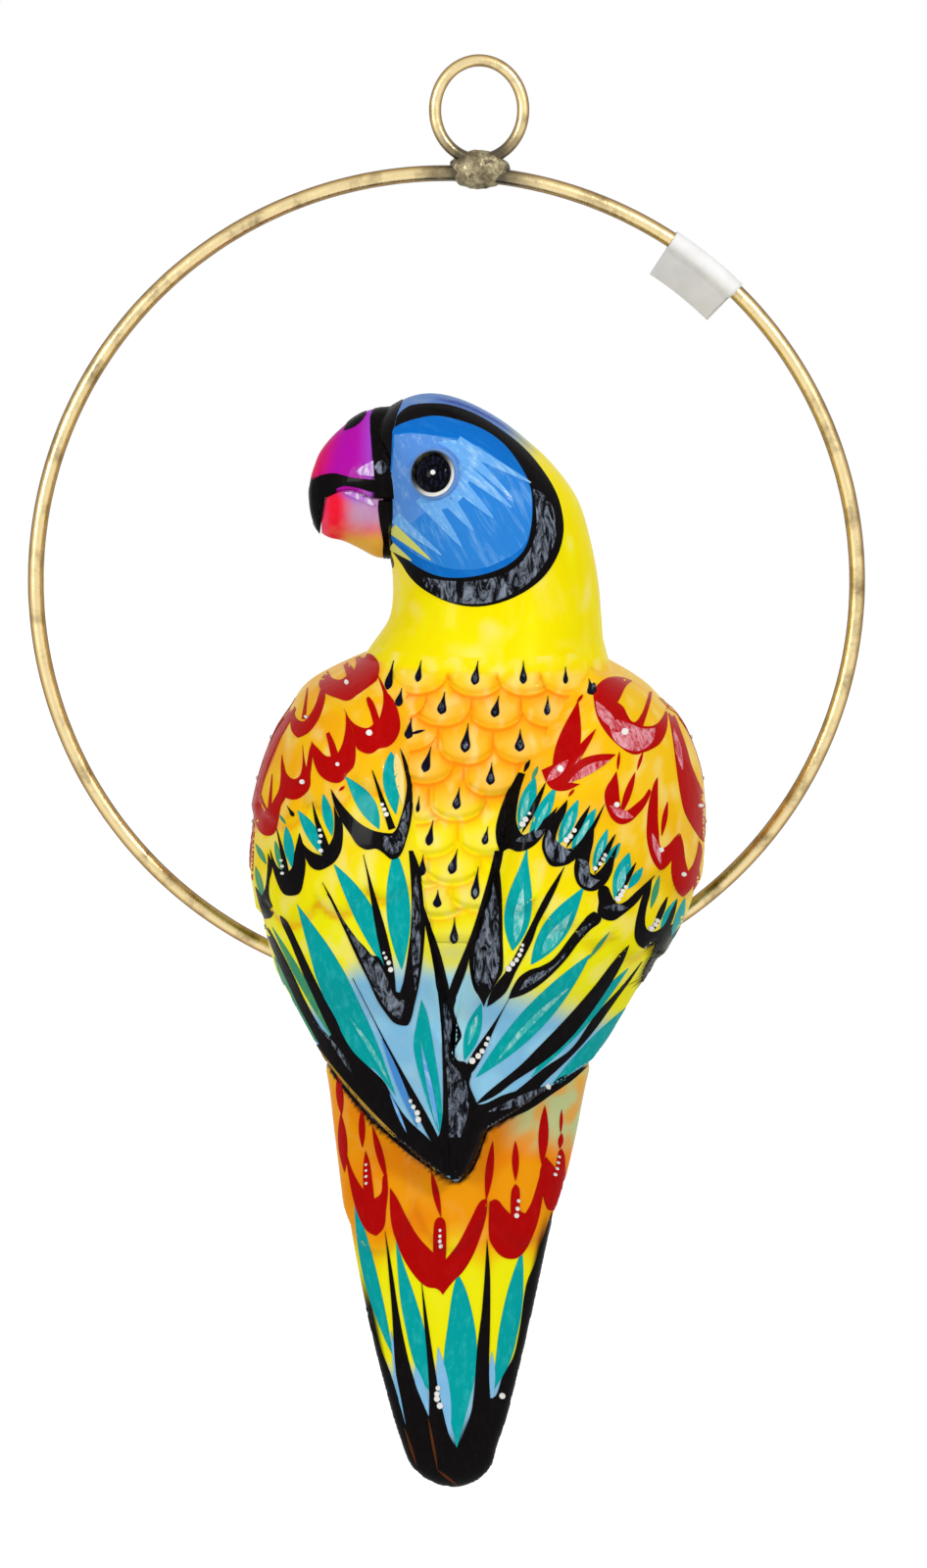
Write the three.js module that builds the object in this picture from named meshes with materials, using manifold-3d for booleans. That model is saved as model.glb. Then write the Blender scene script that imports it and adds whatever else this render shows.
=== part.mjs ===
// Parrot ornament: a hollow pressed-clay parrot that sits in a brass hoop.
// The hoop runs through its two feet, and hangs by a small brazed-on eye.
// Millimetres. +Z is up, +X is the viewer's right when facing the bird's back,
// and +Y runs from its back to its breast.
// The origin is the highest point inside the hanging eye, where a hook bears.

import * as THREE from "three";
import { mergeVertices } from "three/addons/utils/BufferGeometryUtils.js";
import Module from "manifold-3d";

const wasm = await Module();
wasm.setup();

// Hoop and hanging eye
const HOOP_RADIUS = 116.5; // to the middle of the rod
const HOOP_ROD = 4.5;
const HOOP_JOINT_GAP = 0.5; // between the rod's two ends, inside the braze
const EYE_ROD = 3.4;
const EYE_INNER_WIDTH = 21.2;
const EYE_INNER_HEIGHT = 24;
const EYE_OFFSET = 9.2; // the eye was brazed this far to the right of the hoop's middle
const BRAZE_LENGTH = 17;
const BRAZE_DEPTH = 7.4;
const BRAZE_HEIGHT = 11;
const METAL_GAP = 0.2; // between pieces that the braze joins
const THROUGH = 3 * HOOP_RADIUS; // size of the blocks and prisms that cut right through the bird

// Price tag: a blank paper label folded round the rod and stuck to itself
const TAG_ANGLE = 38.5; // degrees from the hoop's top, towards +X
const TAG_LENGTH = 23; // along the rod
const TAG_FLAP = 8.5; // beyond the rod, towards the hoop's middle
const TAG_PAPER = 0.5;
const TAG_GAP = 0.35; // between the rod and the paper

// Fits inside the bird
const SEAM = 0.3; // between clay pieces that are luted together
const FOOT_BORE_PLAY = 0.4; // round the rod, in the feet
const WALL = 5; // thickness of the pressed clay
const PARTING_Y = -24; // the plane where the two body halves meet
const TAIL_JOINT_Z = -16; // the tail is luted on below this height
const TAIL_HOLLOW_Z = -92; // the body's hollow runs down the tail to here
const NECK_JOINT_Z = 104; // the head is luted on above this height
const VENT_DIAMETER = 8; // lets steam out of the hollow body in the kiln
const VENT_Z = 34;
const VENT_Y = 30; // middle of the drill
const VENT_DRILL = 60; // length of the drill

const NECK_SECTION = [NECK_JOINT_Z, 12, -22, 32.1, 31]; // shared by the body and the head

// The bird is built in a frame of its own, whose origin is the middle of the rod at the hoop's lowest point.
// Sections of the body from the tail's tip up to the neck: height, middle x, middle y, half width, half depth
const BODY_SECTIONS = [
  [-139.7, 2, -29.3, 10.4, 5.2],
  [-128.6, 1, -29.8, 13, 6.6],
  [-118, 1, -30.2, 16.3, 7.2],
  [-90, 0.8, -31.6, 22.8, 8.8],
  [-62.6, 1.1, -32.8, 28.1, 11.4],
  [-35, 2.5, -33.9, 32.8, 15],
  [-16, 3.2, -34.2, 35.8, 19.5],
  [4, 3.9, -32, 41.5, 27.6],
  [18, 5.4, -29, 50, 36.2],
  [40, 8.2, -25, 56.5, 44.5],
  [58, 9.2, -23.2, 56, 45],
  [78, 9.2, -22.6, 48.5, 41],
  [91, 9.6, -22.2, 39, 35.5],
  NECK_SECTION,
];
const BODY_SQUARENESS = 2.3; // 2 is an ellipse
const TAIL_TIP_DOME = 9; // the tail closes in a dome this high

// Sections of the wings' outer face, low on the wing, where the flight feathers are
const WING_TOP_Z = 101;
const WING_SECTIONS = [
  [-48, 1.6, -33.5, 32, 21.5],
  [-28, 2.6, -34, 36, 24.5],
  [-10, 3.4, -33.5, 42.5, 29],
  [4, 4.2, -32, 49, 34],
  [17.5, 5.3, -29, 54.6, 43],
  [31, 7.4, -26.5, 59.5, 48],
  [44.6, 7.9, -24.5, 61.5, 50.5],
  [65, 9.5, -23.4, 59.5, 49.5],
  [78, 9.8, -22.8, 55.2, 47],
  [84.8, 9.7, -22.5, 50.8, 45],
  [91.5, 8.8, -22.5, 45.4, 42],
  [96, 9.4, -22.5, 39.4, 38.5],
  [WING_TOP_Z, 11.5, -22.5, 32, 33],
];

// Sections of the neck and head, which looks over the bird's left shoulder, towards -X
const HEAD_SECTIONS = [
  NECK_SECTION,
  [111, 13.8, -22, 29.6, 28.6],
  [122, 13.7, -22, 28.6, 27],
  [135, 11.4, -22, 28.2, 27.5],
  [145, 9.2, -22, 26.8, 27.4],
  [155, 4.6, -22, 23.7, 25],
  [164, -1.2, -22, 19.6, 20.5],
  [173.4, -4.4, -22, 14.6, 15],
];
const HEAD_SQUARENESS = 2.15;
const CROWN_DOME = 12;

// Sections of the shut beak from its tip to its root: x, middle y, middle z, half width, half height
const BEAK_SECTIONS = [
  [-38.2, -22, 145, 4, 5],
  [-37, -22, 144.9, 5.4, 7.5],
  [-35.5, -22, 145.4, 7, 10.9],
  [-32.7, -22, 146.4, 9.2, 13.9],
  [-28.9, -22, 147.8, 11.2, 16.2],
  [-24.5, -22, 148.5, 13, 18.9],
  [-19, -22, 148.1, 14.6, 21.2],
  [-10, -22, 148.2, 15.6, 21.4],
];
const BEAK_TIP_DOME = 1.2;
const LOWER_BEAK_INSET = 0.8; // the lower beak is this much narrower all round
// Line between the beak's halves, from the root forwards and down behind the hooked tip
const GAPE = [
  [-10, 145.6], [-16.7, 145.7], [-20.5, 146], [-26, 148.2],
  [-29.5, 147.6], [-33.4, 145.5], [-34.8, 138.3], [-35.6, 130],
];

// Eyes: a clay pellet in a raised ring, on each side of the head
const EYE_X = -3.2;
const EYE_Z = 153.7;
const PELLET_DIAMETER = 10.6;
const PELLET_HEIGHT = 3.2;
const LID_DIAMETER = 13.6;
const LID_THICKNESS = 1.5;

// Wings: three tiers of feathers, each a little lower than the tier above it
const WING_TIER_RISE = [3, 1.6, 0]; // of the shoulder, covert and flight feathers
const WING_TIER_FADE = 12; // the tiers sink into the shoulder over this height
const WING_HOOP_CLEARANCE = 2.2; // from the wings' front edges to the rod
const WING_BESIDE_ROD_Z = 28; // the front edges pass behind the rod at this height
// The wings' front edges seen from the side, above and below the rod: y and z
const WING_FRONT_ABOVE = [[-6, WING_TOP_Z], [4, 86], [4, 62]];
const WING_FRONT_BELOW = [[-12.4, 8], [-34, -15]];

// Mantle scales
const SCALE_ROWS = 8;
const SCALES_IN_ROW = 6;
const SCALE_TOP_Z = 97; // lower edge of the top row
const SCALE_PITCH = 9.3;
const SCALE_WIDTH = 13.3;
const SCALE_DROP = 3;
const SCALE_RISE = 1.3; // at a scale's rounded lower edge
const SCALE_ROOT_RISE = 0.2; // where the row above covers it
const SCALE_MIDDLE_X = 9;
const SCALES_BEHIND_Y = -34; // the scales lie behind this plane
const MANTLE_TOP = [[38, NECK_JOINT_Z], [-14, NECK_JOINT_Z]];

// Tail coverts: three big feathers over the tail's root
const COVERT_RISE = 1.2;
const COVERT_TOP = [[34, -10], [-32, -10]];
const COVERT_ROW = { from: [-29, -52], to: [32, -48], feathers: 3, drop: 16 };
const COVERT_LOW_Z = -90;
const COVERT_MIDDLE_Z = -50;

// Feet
const FOOT_SPACING = 34; // between the middles of the feet
const FOOT_MIDDLE_X = 4;
const TOES = 3;
const TOE_DIAMETER = 5;
const TOE_PITCH = 4.7;
const TOE_START = -50; // degrees round the rod, from its top
const TOE_WRAP = 235;
const TOE_TAPER_FROM = 0.7; // share of the toe's length where its claw begins
const TOE_TIP = 0.28; // size of the claw's tip, as a share of the toe
const PALM_RADII = [7.3, 6.6, 5.3];
const PALM_MIDDLE = [0, -3.2, 5.6];
const THIGH_RADII = [10.5, 12, 12];
const THIGH_MIDDLE_Y = -3;
const THIGH_HEIGHT = 16; // of the thigh's middle above the rod's
const CLAW_SINK = 0.4; // how much of the claw's thinning brings it towards the rod

// How finely the round forms are faceted
const HOOP_STEPS = 66;
const ROD_SIDES = 8;
const BODY_SIDES = 28;
const BODY_STEPS = 15;
const HEAD_SIDES = 24;
const BEAK_SIDES = 16;
const TOE_SIDES = 6;

const PAINT = {
  brass: { color: 0xb59a5a, roughness: 0.35, metalness: 1 },
  braze: { color: 0x7d7458, roughness: 0.5, metalness: 0.9 },
  paper: { color: 0xf4f4f2, roughness: 0.8, metalness: 0 },
  yellow: { color: 0xffc800, roughness: 0.25, metalness: 0 },
  orange: { color: 0xff9c14, roughness: 0.25, metalness: 0 },
  purple: { color: 0xa5189a, roughness: 0.25, metalness: 0 },
  coral: { color: 0xf0604e, roughness: 0.25, metalness: 0 },
  black: { color: 0x0c0a0c, roughness: 0.2, metalness: 0 },
  white: { color: 0xf6f3ea, roughness: 0.3, metalness: 0 },
  grey: { color: 0x5c5650, roughness: 0.4, metalness: 0 },
};

// Solids

function solidOf(geometry) {
  const bare = geometry.clone();
  for (const name of Object.keys(bare.attributes)) {
    if (name !== "position") bare.deleteAttribute(name);
  }
  const merged = mergeVertices(bare, 1e-4);
  const mesh = new wasm.Mesh({
    numProp: 3,
    vertProperties: new Float32Array(merged.attributes.position.array),
    triVerts: new Uint32Array(merged.index.array),
  });
  return new wasm.Manifold(mesh);
}

function geometryOf(solid) {
  const mesh = solid.getMesh();
  const geometry = new THREE.BufferGeometry();
  geometry.setAttribute("position", new THREE.BufferAttribute(new Float32Array(mesh.vertProperties), 3));
  geometry.setIndex(new THREE.BufferAttribute(new Uint32Array(mesh.triVerts), 1));
  return geometry;
}

function piece(name, solid, paint) {
  const geometry = geometryOf(solid).toNonIndexed();
  geometry.computeVertexNormals();
  const mesh = new THREE.Mesh(geometry, new THREE.MeshStandardMaterial(PAINT[paint]));
  mesh.name = name;
  return mesh;
}

function union(solids) {
  return solids.reduce((sum, next) => sum.add(next));
}

function ellipsoid(centre, radii, around = 20, rows = 12) {
  const ball = new THREE.SphereGeometry(1, around, rows);
  ball.scale(...radii);
  ball.translate(...centre);
  return solidOf(ball);
}

function block(low, high) {
  const size = high.map((value, i) => value - low[i]);
  const box = new THREE.BoxGeometry(...size);
  box.translate(...low.map((value, i) => value + size[i] / 2));
  return solidOf(box);
}

// Closed skin through rings that all have as many points, with a flat face at each end
function skin(rings) {
  const sides = rings[0].length;
  const points = rings.flat();
  const faces = [];
  for (let row = 0; row + 1 < rings.length; row++) {
    for (let side = 0; side < sides; side++) {
      const next = (side + 1) % sides;
      const a = row * sides + side;
      const b = row * sides + next;
      faces.push(a, b, b + sides, a, b + sides, a + sides);
    }
  }
  for (const [row, turned] of [[0, true], [rings.length - 1, false]]) {
    const middle = new THREE.Vector3();
    rings[row].forEach((point) => middle.addScaledVector(point, 1 / sides));
    points.push(middle);
    for (let side = 0; side < sides; side++) {
      const a = row * sides + side;
      const b = row * sides + ((side + 1) % sides);
      faces.push(...(turned ? [b, a, points.length - 1] : [a, b, points.length - 1]));
    }
  }
  const geometry = new THREE.BufferGeometry().setFromPoints(points);
  geometry.setIndex(faces);
  const made = solidOf(geometry);
  return made.volume() > 0 ? made : solidOf(turnedOver(geometry));
}

function turnedOver(geometry) {
  const index = geometry.index.array;
  for (let i = 0; i < index.length; i += 3) {
    [index[i + 1], index[i + 2]] = [index[i + 2], index[i + 1]];
  }
  return geometry;
}

// Smooth curve through rows of numbers, read at a value of the rows' first number
function smooth(rows, at) {
  const last = rows.length - 1;
  const found = rows.findIndex((row) => row[0] >= at);
  const i = Math.min(Math.max(found < 0 ? last : found, 1), last);
  const [p, q] = [rows[i - 1], rows[i]];
  const span = q[0] - p[0];
  const t = (at - p[0]) / span;
  return p.map((_, k) => {
    const slopeAt = (j) => {
      const [before, after] = [rows[Math.max(j - 1, 0)], rows[Math.min(j + 1, last)]];
      return (after[k] - before[k]) / (after[0] - before[0]);
    };
    const [m0, m1] = [slopeAt(i - 1) * span, slopeAt(i) * span];
    const [t2, t3] = [t * t, t * t * t];
    return (2 * t3 - 3 * t2 + 1) * p[k] + (t3 - 2 * t2 + t) * m0 + (3 * t2 - 2 * t3) * q[k] + (t3 - t2) * m1;
  });
}

// A horizontal section of the body or head, grown outwards by rise, or inwards if rise is negative
function section(rows, z, squareness, sides, rise, shrink = 1) {
  const [, middleX, middleY, halfWidth, halfDepth] = smooth(rows, z);
  const ring = [];
  for (let side = 0; side < sides; side++) {
    const angle = (side / sides) * 2 * Math.PI;
    const bend = (value) => Math.sign(value) * Math.abs(value) ** (2 / squareness);
    const x = middleX + (halfWidth * shrink + rise) * bend(Math.cos(angle));
    const y = middleY + (halfDepth * shrink + rise) * bend(Math.sin(angle));
    ring.push(new THREE.Vector3(x, y, z));
  }
  return ring;
}

// Heights from low to high in even steps, closer together towards an end that closes in a dome
function heights(low, high, steps, domeLow = 0, domeHigh = 0) {
  const list = [];
  const domeSteps = 5;
  for (let i = 0; i < domeSteps && domeLow; i++) {
    list.push(low + domeLow * (1 - Math.cos(((i + 0.35) / domeSteps) * (Math.PI / 2))));
  }
  const [from, to] = [low + domeLow, high - domeHigh];
  for (let i = 0; i <= steps; i++) list.push(from + ((to - from) * i) / steps);
  for (let i = domeSteps - 1; i >= 0 && domeHigh; i--) {
    list.push(high - domeHigh * (1 - Math.cos(((i + 0.35) / domeSteps) * (Math.PI / 2))));
  }
  return list;
}

function domeShrink(distanceFromEnd, dome) {
  if (!dome || distanceFromEnd >= dome) return 1;
  return Math.sqrt(1 - (1 - distanceFromEnd / dome) ** 2);
}

// The body's form between two heights, grown by a distance or by a function of the height
function bodyForm(low, high, rise, steps, sides = BODY_SIDES) {
  const tip = BODY_SECTIONS[0][0];
  const dome = low <= tip ? TAIL_TIP_DOME : 0;
  const riseAt = typeof rise === "function" ? rise : () => rise;
  const rings = heights(low, high, steps, dome).map((z) =>
    section(BODY_SECTIONS, z, BODY_SQUARENESS, sides, riseAt(z), domeShrink(z - tip, dome)),
  );
  return skin(rings);
}

function headForm(low, high, rise, steps, dome = CROWN_DOME) {
  const rings = heights(low, high, steps, 0, dome).map((z) =>
    section(HEAD_SECTIONS, z, HEAD_SQUARENESS, HEAD_SIDES, rise, domeShrink(high - z, dome)),
  );
  return skin(rings);
}

// A ring of round rod about the Y axis, grown by rise; angles are from the top, towards +X
function rodRing(radius, rodDiameter, rise, from = 0, to = 2 * Math.PI, steps = HOOP_STEPS) {
  const whole = to - from >= 2 * Math.PI - 1e-9;
  const rings = [];
  for (let i = 0; i <= steps - (whole ? 1 : 0); i++) {
    const angle = from + ((to - from) * i) / steps;
    const ring = [];
    for (let side = 0; side < ROD_SIDES; side++) {
      const turn = (side / ROD_SIDES) * 2 * Math.PI;
      const out = radius + (rodDiameter / 2 + rise) * Math.cos(turn);
      const y = (rodDiameter / 2 + rise) * Math.sin(turn);
      ring.push(new THREE.Vector3(out * Math.sin(angle), y, out * Math.cos(angle)));
    }
    rings.push(ring);
  }
  if (!whole) return skin(rings);
  const torus = new THREE.TorusGeometry(radius, rodDiameter / 2 + rise, ROD_SIDES, steps);
  torus.rotateX(Math.PI / 2);
  return solidOf(torus);
}

// Flat outline in x and z, run through the whole depth of the bird
function planPrism(points) {
  const shape = new THREE.Shape(points.map(([x, z]) => new THREE.Vector2(x, z)));
  const prism = new THREE.ExtrudeGeometry(shape, { depth: THROUGH, bevelEnabled: false });
  prism.rotateX(Math.PI / 2);
  prism.translate(0, THROUGH / 2, 0);
  return solidOf(prism);
}

// Flat outline in y and z, run through the whole width of the bird
function sidePrism(points) {
  const shape = new THREE.Shape(points.map(([y, z]) => new THREE.Vector2(y, z)));
  const prism = new THREE.ExtrudeGeometry(shape, { depth: THROUGH, bevelEnabled: false });
  prism.applyMatrix4(new THREE.Matrix4().makeBasis(
    new THREE.Vector3(0, 1, 0),
    new THREE.Vector3(0, 0, 1),
    new THREE.Vector3(1, 0, 0),
  ));
  prism.translate(-THROUGH / 2, 0, 0);
  return solidOf(prism);
}

// Hoop, eye, braze and tag, about the origin in the eye

const eyeMiddleZ = -EYE_INNER_HEIGHT / 2;
const eyeLowZ = -EYE_INNER_HEIGHT - EYE_ROD;
const hoopTouch = Math.sqrt(HOOP_RADIUS ** 2 - EYE_OFFSET ** 2);
const hoopMiddle = new THREE.Vector3(
  -EYE_OFFSET,
  0,
  eyeLowZ - METAL_GAP - HOOP_ROD / 2 - hoopTouch,
);
const brazeAngle = Math.asin(EYE_OFFSET / HOOP_RADIUS);

function hoopRod(rise = 0) {
  const gapAngle = HOOP_JOINT_GAP / HOOP_RADIUS / 2;
  const ends = [brazeAngle + gapAngle, brazeAngle + 2 * Math.PI - gapAngle];
  return rodRing(HOOP_RADIUS, HOOP_ROD, rise, ...ends);
}

// The whole ring that the rod sweeps as the bird slides along it
function hoopPath(rise) {
  return rodRing(HOOP_RADIUS, HOOP_ROD, rise);
}

// A torus, drawn out in height into an oval while its rod stays round
function eyeRing(rise = 0) {
  const halfWidth = (EYE_INNER_WIDTH + EYE_ROD) / 2;
  const stretch = (EYE_INNER_HEIGHT - EYE_INNER_WIDTH) / 2;
  const ring = new THREE.TorusGeometry(halfWidth, EYE_ROD / 2 + rise, ROD_SIDES, 28);
  ring.rotateX(Math.PI / 2);
  const place = ring.attributes.position;
  for (let i = 0; i < place.count; i++) {
    const [x, z] = [place.getX(i), place.getZ(i)];
    place.setZ(i, z + (stretch * z) / Math.hypot(x, z));
  }
  ring.translate(0, 0, eyeMiddleZ);
  return solidOf(ring);
}

function brazeBead() {
  const lump = ellipsoid(
    [0, 0, eyeLowZ - HOOP_ROD / 4],
    [BRAZE_LENGTH / 2, BRAZE_DEPTH / 2, BRAZE_HEIGHT / 2],
    12,
    7,
  );
  const hoop = hoopPath(METAL_GAP).translate(hoopMiddle.toArray());
  return lump.subtract(hoop).subtract(eyeRing(METAL_GAP));
}

// Section of the folded label, in the distance outwards from the rod's middle and in y
function tagSection() {
  const inner = HOOP_ROD / 2 + TAG_GAP;
  const outer = inner + TAG_PAPER / 2;
  const flapHalf = TAG_PAPER / 2;
  const steps = 10;
  const shape = new THREE.Shape();
  const spread = Math.asin(flapHalf / outer);
  shape.moveTo(-outer - TAG_FLAP, -flapHalf);
  for (let i = 0; i <= steps; i++) {
    const angle = Math.PI + spread + ((2 * Math.PI - 2 * spread) * i) / steps;
    shape.lineTo(outer * Math.cos(angle), outer * Math.sin(angle));
  }
  shape.lineTo(-outer - TAG_FLAP, flapHalf);
  const hole = new THREE.Path();
  hole.absarc(0, 0, inner, 0, 2 * Math.PI);
  shape.holes.push(hole);
  return shape.extractPoints(6);
}

function paperTag() {
  const { shape, holes } = tagSection();
  const middle = THREE.MathUtils.degToRad(TAG_ANGLE);
  const steps = 6;
  const sweep = (points, half) => skin(
    Array.from({ length: steps + 1 }, (_, i) => {
      const angle = middle - half + (2 * half * i) / steps;
      return points.map((point) => {
        const out = HOOP_RADIUS + point.x;
        return new THREE.Vector3(out * Math.sin(angle), point.y, out * Math.cos(angle));
      });
    }),
  );
  const half = TAG_LENGTH / HOOP_RADIUS / 2;
  return sweep(shape, half).subtract(sweep(holes[0], half * (1 + 2 / steps)));
}

// Body

function bodyHollow() {
  return bodyForm(TAIL_JOINT_Z - 1, NECK_JOINT_Z + 1, -WALL, 10, BODY_SIDES - 10);
}

function bodyShell() {
  const outer = bodyForm(TAIL_JOINT_Z, NECK_JOINT_Z - SEAM, 0, BODY_STEPS);
  return outer.subtract(bodyHollow()).subtract(hoopInBird(FOOT_BORE_PLAY));
}

// The hoop's path in the bird's own frame
function hoopInBird(rise) {
  return hoopPath(rise).translate([0, 0, HOOP_RADIUS]);
}

function ventHole() {
  const drill = new THREE.CylinderGeometry(VENT_DIAMETER / 2, VENT_DIAMETER / 2, VENT_DRILL, 16);
  drill.translate(FOOT_MIDDLE_X, VENT_Y, VENT_Z);
  return solidOf(drill);
}

// Rows of scale-like feathers on the mantle, between the wings, each standing a little above the row below
function mantleScales() {
  const left = LEFT_INNER_EDGE.map(([x, z]) => [x + 2 * SEAM, z]);
  const right = RIGHT_INNER_EDGE.map(([x, z]) => [x - 2 * SEAM, z]);
  const top = MANTLE_TOP.map(([x, z]) => [x, z - SEAM]);
  const between = planPrism([...left, ...right.reverse(), ...top]);
  const behind = block([-THROUGH, -THROUGH, -THROUGH], [THROUGH, SCALES_BEHIND_Y, THROUGH]);
  const rows = Array.from({ length: SCALE_ROWS }, (_, row) => {
    const z = SCALE_TOP_Z - row * SCALE_PITCH;
    const start = SCALE_MIDDLE_X - SCALE_WIDTH * (row % 2 ? 3 : 2.5);
    const end = start + SCALE_WIDTH * SCALES_IN_ROW;
    const edge = featherRow([start, z + SCALE_DROP], [end, z + SCALE_DROP], SCALES_IN_ROW, SCALE_DROP, 3);
    const covered = z + SCALE_PITCH + 1.5 * SCALE_DROP;
    const high = Math.min(covered, NECK_JOINT_Z - SEAM);
    const rise = (at) => THREE.MathUtils.mapLinear(at, z, covered, SCALE_RISE, SCALE_ROOT_RISE);
    const outline = planPrism([[end, high + SEAM], [start, high + SEAM], ...edge]);
    return bodyForm(z, high, rise, 2).intersect(outline);
  });
  return union(rows).intersect(between).intersect(behind).subtract(bodyHollow());
}

const shell = bodyShell();
const backHalf = block([-THROUGH, -THROUGH, -THROUGH], [THROUGH, PARTING_Y - SEAM / 2, THROUGH]);
const frontHalf = block([-THROUGH, PARTING_Y + SEAM / 2, -THROUGH], [THROUGH, THROUGH, THROUGH]);
// The body's form grown by the seam, closed over its joint with the tail
const bodyGrown = bodyForm(TAIL_JOINT_Z, NECK_JOINT_Z - SEAM, SEAM, BODY_STEPS).add(
  bodyForm(TAIL_JOINT_Z - 2, TAIL_JOINT_Z + 2, SEAM, 1),
);

function tailForm(grow = 0) {
  const form = bodyForm(BODY_SECTIONS[0][0], TAIL_JOINT_Z - SEAM, grow, 11);
  const { from, to, feathers, drop } = COVERT_ROW;
  const outline = [...COVERT_TOP, ...featherRow(from, to, feathers, drop, 6)];
  const middleY = smooth(BODY_SECTIONS, COVERT_MIDDLE_Z)[2];
  const coverts = bodyForm(COVERT_LOW_Z, TAIL_JOINT_Z - SEAM, COVERT_RISE + grow, 5)
    .intersect(planPrism(outline))
    .intersect(block([-THROUGH, -THROUGH, -THROUGH], [THROUGH, middleY, THROUGH]));
  const hollow = bodyForm(TAIL_HOLLOW_Z, TAIL_JOINT_Z + 1, -WALL, 5, BODY_SIDES - 10);
  return grow ? form.add(coverts) : form.add(coverts).subtract(hollow);
}

// Head

function headShell() {
  const top = HEAD_SECTIONS.at(-1)[0];
  const outer = headForm(NECK_JOINT_Z, top, 0, 10);
  const hollow = headForm(NECK_JOINT_Z - 1, top - WALL, -WALL, 6);
  return outer.subtract(hollow);
}

// The shut beak, swept along X
function beakForm(rise) {
  const tip = BEAK_SECTIONS[0][0];
  const rings = heights(tip, BEAK_SECTIONS.at(-1)[0], 9, BEAK_TIP_DOME).map((x) =>
    section(BEAK_SECTIONS, x, 2, BEAK_SIDES, rise, domeShrink(x - tip, BEAK_TIP_DOME)),
  );
  return skin(rings.map((ring) => ring.map(({ x, y, z }) => new THREE.Vector3(z, x, y))));
}

// Everything below the gape, for the lower beak; shifted down for the slit between the halves
function belowGape(shift) {
  const line = GAPE.map(([x, z]) => [x + shift / 2, z - shift]);
  return planPrism([...line, [line.at(-1)[0], NECK_JOINT_Z], [line[0][0], NECK_JOINT_Z]]);
}

// How far the head's surface is from its middle plane
function headDepth(x, z) {
  const [, middleX, , halfWidth, halfDepth] = smooth(HEAD_SECTIONS, z);
  const across = Math.min(1, Math.abs((x - middleX) / halfWidth));
  return halfDepth * (1 - across ** HEAD_SQUARENESS) ** (1 / HEAD_SQUARENESS);
}

// Degrees by which an eye leans with the head's surface, about X and then about Z
function eyeLean(side) {
  const reach = LID_DIAMETER / 2;
  const slopeX = (headDepth(EYE_X + reach, EYE_Z) - headDepth(EYE_X - reach, EYE_Z)) / (2 * reach);
  const slopeZ = (headDepth(EYE_X, EYE_Z + reach) - headDepth(EYE_X, EYE_Z - reach)) / (2 * reach);
  const size = Math.hypot(slopeX, 1, slopeZ);
  const up = Math.asin(-slopeZ / size);
  const forward = Math.asin(-slopeX / size / Math.cos(up));
  return [side * up, 0, -side * forward].map(THREE.MathUtils.radToDeg);
}

function onHead(solid, side) {
  const middleY = NECK_SECTION[2] + side * headDepth(EYE_X, EYE_Z);
  return solid.rotate(eyeLean(side)).translate([EYE_X, middleY, EYE_Z]);
}

function eyePellet(side, grow = 0) {
  const radius = PELLET_DIAMETER / 2 + grow;
  return onHead(ellipsoid([0, 0, 0], [radius, PELLET_HEIGHT + grow, radius], 12, 7), side);
}

function eyeLid(side) {
  const radius = (LID_DIAMETER - LID_THICKNESS) / 2;
  const lid = new THREE.TorusGeometry(radius, LID_THICKNESS / 2 + 0.4, 6, 16);
  lid.rotateX(Math.PI / 2);
  return onHead(solidOf(lid), side);
}

// Wings

// Lower edge of a feather row: rounded feather ends between a first and a last point
function featherRow([x0, z0], [x1, z1], count, drop, arcSteps = 4) {
  const points = [];
  for (let feather = 0; feather < count; feather++) {
    for (let i = 0; i < arcSteps; i++) {
      const t = (feather + i / arcSteps) / count;
      const hang = drop * Math.sin((Math.PI * i) / arcSteps) ** 0.7;
      points.push([x0 + (x1 - x0) * t, z0 + (z1 - z0) * t - hang]);
    }
  }
  points.push([x1, z1]);
  return points;
}

const FEATHER_DROP = 6;
const OUTSIDE = 90; // past the bird's widest point

// Inner edges of the wings against the mantle, from the shoulder down
const LEFT_INNER_EDGE = [
  [-15, WING_TOP_Z], [-10.7, 81], [-9.4, 70.2], [-6.7, 48.3], [-4.1, 31.9], [-0.8, 18.1], [1.3, 4.3],
];
const RIGHT_INNER_EDGE = [
  [40.8, 99], [36.1, 95], [28.1, 81], [17.4, 70.2], [13.4, 51.1], [9.4, 31.9], [5.4, 18.1], [3.1, 4.3],
];
const WING_MEETING = [2.2, -6]; // the wings touch along the back from here down
// Trailing edges, from the wing's tip out to its side
const LEFT_TIP = [
  [2.2, -43.6], [-4.2, -39.8], [-12.4, -32.8], [-21.9, -25.6], [-28.7, -17.3],
  [-35.2, -9.7], [-38.7, -3], [-42.2, 3.6], [-45.9, 10.3], [-49, 15], [-OUTSIDE, 45],
];
const RIGHT_TIP = [
  [2.8, -43.6], [6.7, -40.8], [9.5, -33.8], [11.4, -28.2], [20.4, -22.6], [28.5, -17],
  [42.1, -9.7], [46.9, -3], [50.6, 3.6], [54.4, 10.3], [59, 14.4], [OUTSIDE, 40],
];
// Top of the right shoulder, which droops a little below the left one
const RIGHT_SHOULDER = [[OUTSIDE, 60], [64, 84], [58, 90.6], [53, 93.6], [47, 96.5]];
const LEFT_ROWS = [
  { from: [-11.2, 80], to: [-62, 56], feathers: 4 },
  { from: [-7.6, 50], to: [-62, 30], feathers: 4 },
];
const RIGHT_ROWS = [
  { from: [19, 69], to: [70, 40], feathers: 4 },
  { from: [13, 47], to: [66, 20], feathers: 5 },
];

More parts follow.
